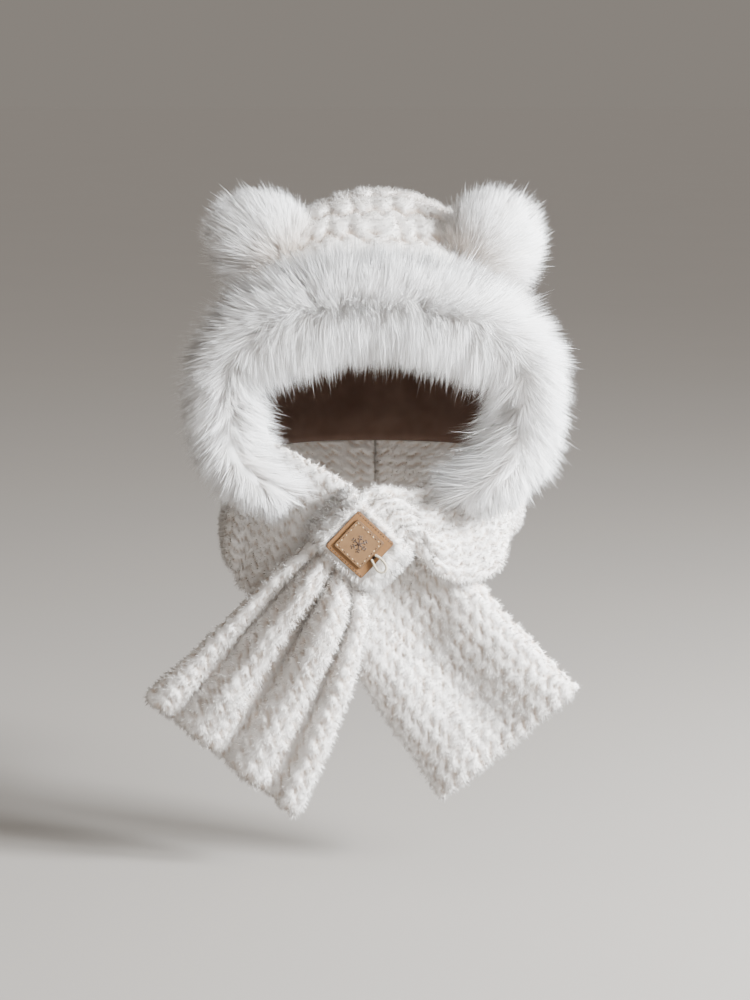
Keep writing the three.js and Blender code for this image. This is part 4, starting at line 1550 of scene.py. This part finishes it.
@dataclass
class Label:
    """The leather label: its base, the patch, their stitches, a small snowflake and the cord loop."""

    finishes: Finishes
    pitch: float = 2.9 * MM
    base_margin: float = 2.0 * MM
    patch_margin: float = 2.2 * MM
    arm: float = 8.5 * MM
    twig_lean: float = math.radians(55)
    route: Tuple[Tuple[float, float, float], ...] = (
        (15.6, 2.4, 1.3), (17.5, 3.2, 1.4), (20.0, 3.6, 1.7), (23.0, 3.6, 2.2), (26.0, 3.2, 2.8),
        (28.6, 2.2, 3.2), (30.4, 0.4, 3.4), (30.9, -1.8, 3.5), (30.0, -3.9, 3.4), (28.0, -5.3, 3.1),
        (25.3, -5.6, 2.7), (22.5, -4.9, 2.1), (20.0, -4.0, 1.7), (17.6, -3.1, 1.4), (15.6, -2.4, 1.3),
    )

    @staticmethod
    def plate(y: float, length: float, width: float, thickness: float, shift: float) -> Surface:
        """A leather rectangle with round corners and softly rounded edges.

        Its outline is the superellipse |x|^n + |y|^n = 1 with n = 24, which grows from the middle
        by steps and closes behind.

        Args:
            y: Where its back lies.
            length: Size across.
            width: Size along.
            thickness: Its thickness.
            shift: How far it lies to the -across side.

        Returns:
            The surface, with the field valley, 1 at its edges.
        """
        turn, power = once_round(160), 24.0
        radius = (np.abs(np.cos(turn)) ** power + np.abs(np.sin(turn)) ** power) ** (-1.0 / power)
        grow, level, dark = np.array([
            [0.0, 0.3, 0.6, 0.8, 0.9, 0.95, 0.975, 0.992, 1.0, 1.0, 0.985, 0.6, 0.0],
            [1.0, 1.0, 1.0, 1.0, 1.0, 1.0, 0.99, 0.93, 0.78, 0.2, 0.0, 0.0, 0.0],
            [0.0, 0.0, 0.0, 0.0, 0.0, 0.12, 0.45, 0.8, 1.0, 1.0, 1.0, 1.0, 1.0],
        ])[:, :, None]
        a = length / 2 * grow * radius * np.cos(turn) - shift
        b = width / 2 * grow * radius * np.sin(turn)
        return Surface.from_grid(KeeperPlane(LABEL_TURN, y).place(a, b, thickness * level), {"valley": dark})

    @staticmethod
    def seams(left: float, right: float, top: float, pitch: float, sides: Sequence[int]) -> Array:
        """Place stitches evenly along sides of a rectangle.

        Args:
            left: Its least place across.
            right: Its greatest place across.
            top: Half of its size along.
            pitch: Distance between stitches.
            sides: 0 and 1 for the left and right side, 2 and 3 for the upper and lower one.

        Returns:
            Shape (stitches, 3): place across, place along and the way it runs as an angle.
        """
        lower, upper = (left, -top), (right, top)
        ends = ((lower, (left, top)), ((right, -top), upper), ((left, top), upper), (lower, (right, -top)))
        found = []
        for start, end in (np.array(ends[side]) for side in sides):
            span = end - start
            count = int(round(float(np.linalg.norm(span)) / pitch)) + 1
            places = start + span * np.linspace(0.0, 1.0, count)[:, None]
            found.append(np.column_stack([places, np.full(count, math.atan2(span[1], span[0]))]))
        return np.concatenate(found)

    @staticmethod
    def beads(y: float, marks: Array, length: Array, width: float, height: float) -> Surface:
        """Make a small pointed lens at each mark, six points each.

        Args:
            y: Where the face that they lie on is.
            marks: Place across, place along and angle of each.
            length: Their lengths.
            width: Their width.
            height: How far they stand out.

        Returns:
            One surface of them all.
        """
        shape = np.array([[-0.5, 0, 0], [0.5, 0, 0], [0, -0.5, 0], [0, 0.5, 0], [0, 0, 1.0], [0, 0, -1.0]])
        rim = (0, 2, 1, 3, 0)
        upper = [(first, second, 4) for first, second in zip(rim, rim[1:])]
        cells = np.array(upper + [(second, first, 5) for first, second, _ in upper])
        x, z, out = np.moveaxis(shape * vector_field(length, width, height)[:, None], -1, 0)
        a, b, angle = marks.T[..., None]
        c, s = np.cos(angle), np.sin(angle)
        points = KeeperPlane(LABEL_TURN, y).place(a + x * c - z * s, b + x * s + z * c, out)
        triangles = np.arange(len(marks))[:, None, None] * len(shape) + cells
        return Surface(points.reshape(-1, 3), triangles.reshape(-1, 3))

    def snowflake(self) -> Tuple[Array, Array]:
        """Three lines across, each with two pairs of side twigs at either end.

        Returns:
            The marks and their lengths.
        """
        marks, arm = [], self.arm
        for k in range(6):
            way = math.radians(60 * k + 2)
            if k < 3:
                marks.append((0.0, 0.0, way, arm * 2))
            for share, size in ((0.45, 0.34), (0.72, 0.26)):
                for twig in (way - self.twig_lean, way + self.twig_lean):
                    a, b = (
                        arm * (wave(way) * share + wave(twig) * size / 2) for wave in (math.cos, math.sin)
                    )
                    marks.append((a, b, twig, arm * size))
        table = np.array(marks) - np.array([PATCH_SHIFT, 0.0, 0.0, 0.0])
        return table[:, :3], table[:, 3]

    def build(self) -> None:
        """Build the label."""
        looks, patch_face = self.finishes, PATCH_BACK_Y - PATCH_LEATHER
        base = self.plate(LABEL_BACK_Y, LABEL_SIDE, LABEL_SIDE, LABEL_LEATHER, 0.0)
        patch = self.plate(PATCH_BACK_Y, PATCH_LENGTH, PATCH_WIDTH, PATCH_LEATHER, PATCH_SHIFT)
        looks.leather.piece(base, "label_leather", "label_base")
        looks.patch.piece(patch, "label_patch_leather", "label_patch")
        side, half = LABEL_SIDE / 2 - self.base_margin, PATCH_LENGTH / 2 - self.patch_margin
        edges = self.seams(-side, side, side, self.pitch, (2, 3))
        top = PATCH_WIDTH / 2 - self.patch_margin
        border = self.seams(-half - PATCH_SHIFT, half - PATCH_SHIFT, top, self.pitch, (0, 1, 2, 3))
        flake, lengths = self.snowflake()
        # A dark line on the base just past the patch's edge, beside the cord's ends.
        slot = np.array([[16.4 * MM, 0.0, math.pi / 2]])
        for name, y, look, marks, length, width, height in (
            ("label_edge_stitches", LABEL_FACE_Y, looks.dark_thread, edges, 2.0, 1.3, 0.4),
            ("patch_light_stitches", patch_face, looks.light_thread, border[::2], 2.0, 1.3, 0.4),
            ("patch_dark_stitches", patch_face, looks.dark_thread, border[1::2], 2.0, 1.3, 0.4),
            ("patch_snowflake", patch_face, looks.dark_thread, flake, lengths / MM, 1.5, 0.3),
            ("label_dark_line", LABEL_FACE_Y, looks.dark_thread, slot, 11.0, 2.6, 0.1),
        ):
            sizes = np.full(len(marks), length) * MM
            look.piece(self.beads(y, marks, sizes, width * MM, height * MM), name)
        self.cord_loop()

    def cord_loop(self) -> None:
        """Make the loop: one open line that leaves the patch's edge and goes back under it."""
        stations = KeeperPlane(LABEL_TURN, LABEL_FACE_Y).place(*(np.array(self.route) * MM).T)
        points = catmull_rom(stations, np.linspace(0.0, 1.0, 90))
        line = bpy.data.curves.new("loop_cord_line", "CURVE")
        line.dimensions = "3D"
        line.bevel_depth = CORD_DIAMETER / 2
        line.bevel_resolution = 3
        line.use_fill_caps = True
        spline = line.splines.new("POLY")
        spline.points.add(len(points) - 1)
        spline.points.foreach_set("co", np.column_stack([points, np.ones(len(points))]).reshape(-1))
        line.materials.append(self.finishes.cord.material)
        cord = self.finishes.cord.dress(add_object("loop_cord", line), "cord_loop")


@dataclass(frozen=True)
class AreaLight:
    """A soft square light that looks at the hood."""

    name: str
    place: Colour
    size: float
    power: float
    colour: Colour


@dataclass
class Studio:
    """The camera, the floor and the lights."""

    finishes: Finishes
    target: Colour = (0.0, 0.0, -0.2653)
    distance: float = 2.4
    elevation: float = 9.0
    frame_height: float = 0.9
    lights: Tuple[AreaLight, ...] = (
        AreaLight("key", (2.05, -0.95, 0.5), 0.8, 380.0, (0.93, 0.97, 1.0)),
        AreaLight("front", (-0.3, -2.3, 0.3), 1.8, 9.0, (1.0, 0.98, 0.95)),
        AreaLight("top", (0.5, 0.3, 1.5), 1.2, 3.0, (0.95, 0.975, 1.0)),
    )
    sun_strength: float = 2.75
    sun_width: float = math.radians(30)
    sun_way: Colour = (-0.9, 0.45, -0.75)
    backdrop: Colour = (0.26, 0.235, 0.208)

    @staticmethod
    def aim(name: str, data: bpy.types.ID, place: Sequence[float], way: Vector) -> bpy.types.Object:
        """Add a camera or a light that looks one way.

        Args:
            name: Its name.
            data: The camera or light.
            place: Where it stands.
            way: The way that it looks.

        Returns:
            The object.
        """
        made = add_object(name, data)
        made.location = place
        made.rotation_euler = way.to_track_quat("-Z", "Y").to_euler()
        return made

    def camera(self) -> None:
        """Make the camera: level with the photograph's view, its lens set by the frame's height."""
        data = bpy.data.cameras.new("camera")
        data.sensor_fit = "VERTICAL"
        data.sensor_height = data.sensor_width
        data.lens = data.sensor_height * self.distance / self.frame_height
        rise = math.radians(self.elevation)
        back = Vector((0.0, -math.cos(rise), math.sin(rise)))
        place = Vector(self.target) + back * self.distance
        bpy.context.scene.camera = self.aim("camera", data, place, -back)

    def build(self) -> None:
        """Build the floor, the lights and the backdrop's own glow."""
        r = FLOOR_REACH
        corners = vector_field(np.array([-r, r, r, -r]), np.array([-r, -r, r, r]), FLOOR_Z)
        floor = Surface(corners, np.array([[0, 1, 2], [0, 2, 3]]))
        floor.to_object("studio_floor", self.finishes.floor)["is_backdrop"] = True
        for plan in self.lights:
            data = bpy.data.lights.new(plan.name, "AREA")
            data.energy, data.size, data.color = plan.power, plan.size, plan.colour
            self.aim(plan.name, data, plan.place, Vector(self.target) - Vector(plan.place))
        data = bpy.data.lights.new("sun", "SUN")
        data.energy, data.angle = self.sun_strength, self.sun_width
        self.aim("sun", data, (0.0, 0.0, 0.0), Vector(self.sun_way))
        world = bpy.data.worlds.new("studio")
        world.use_nodes = True
        glow = world.node_tree.nodes["Background"].inputs
        glow["Color"].default_value = (*self.backdrop, 1.0)
        glow["Strength"].default_value = 1.0
        bpy.context.scene.world = world


def main() -> None:
    """Build the studio and every piece in order."""
    logging.basicConfig(level=logging.INFO, format="%(message)s")
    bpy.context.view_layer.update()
    finishes = Finishes()
    studio = Studio(finishes)
    studio.camera()
    assemblies = (
        Label(finishes),
        Hood(finishes),
        FurRing(finishes),
        Ear(finishes, "ear_left", angle=-46.5, seed=101),
        Ear(finishes, "ear_right", angle=47.5, seed=102),
        ScarfHalf(
            finishes, "scarf_left_plush", "scarf_left_half", hand=-1.0, collar=LEFT_COLLAR, run=LEFT_RUN,
            fold_height=RIGHT_FOLD, folds=1, seed=201,
        ),
        ScarfHalf(
            finishes, "scarf_right_plush", "scarf_right_half", hand=1.0, collar=RIGHT_COLLAR, run=RIGHT_RUN,
            fold_height=LEFT_PLEAT, folds=3, seed=301,
        ),
        Keeper(finishes),
    )
    for assembly in assemblies:
        log.info("building %s", type(assembly).__name__)
        assembly.build()
    studio.build()
    faces = sum(len(piece.data.loop_triangles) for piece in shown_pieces() if piece.type == "MESH")
    log.info("triangles shown: %d", faces)


if __name__ == "__main__":
    main()
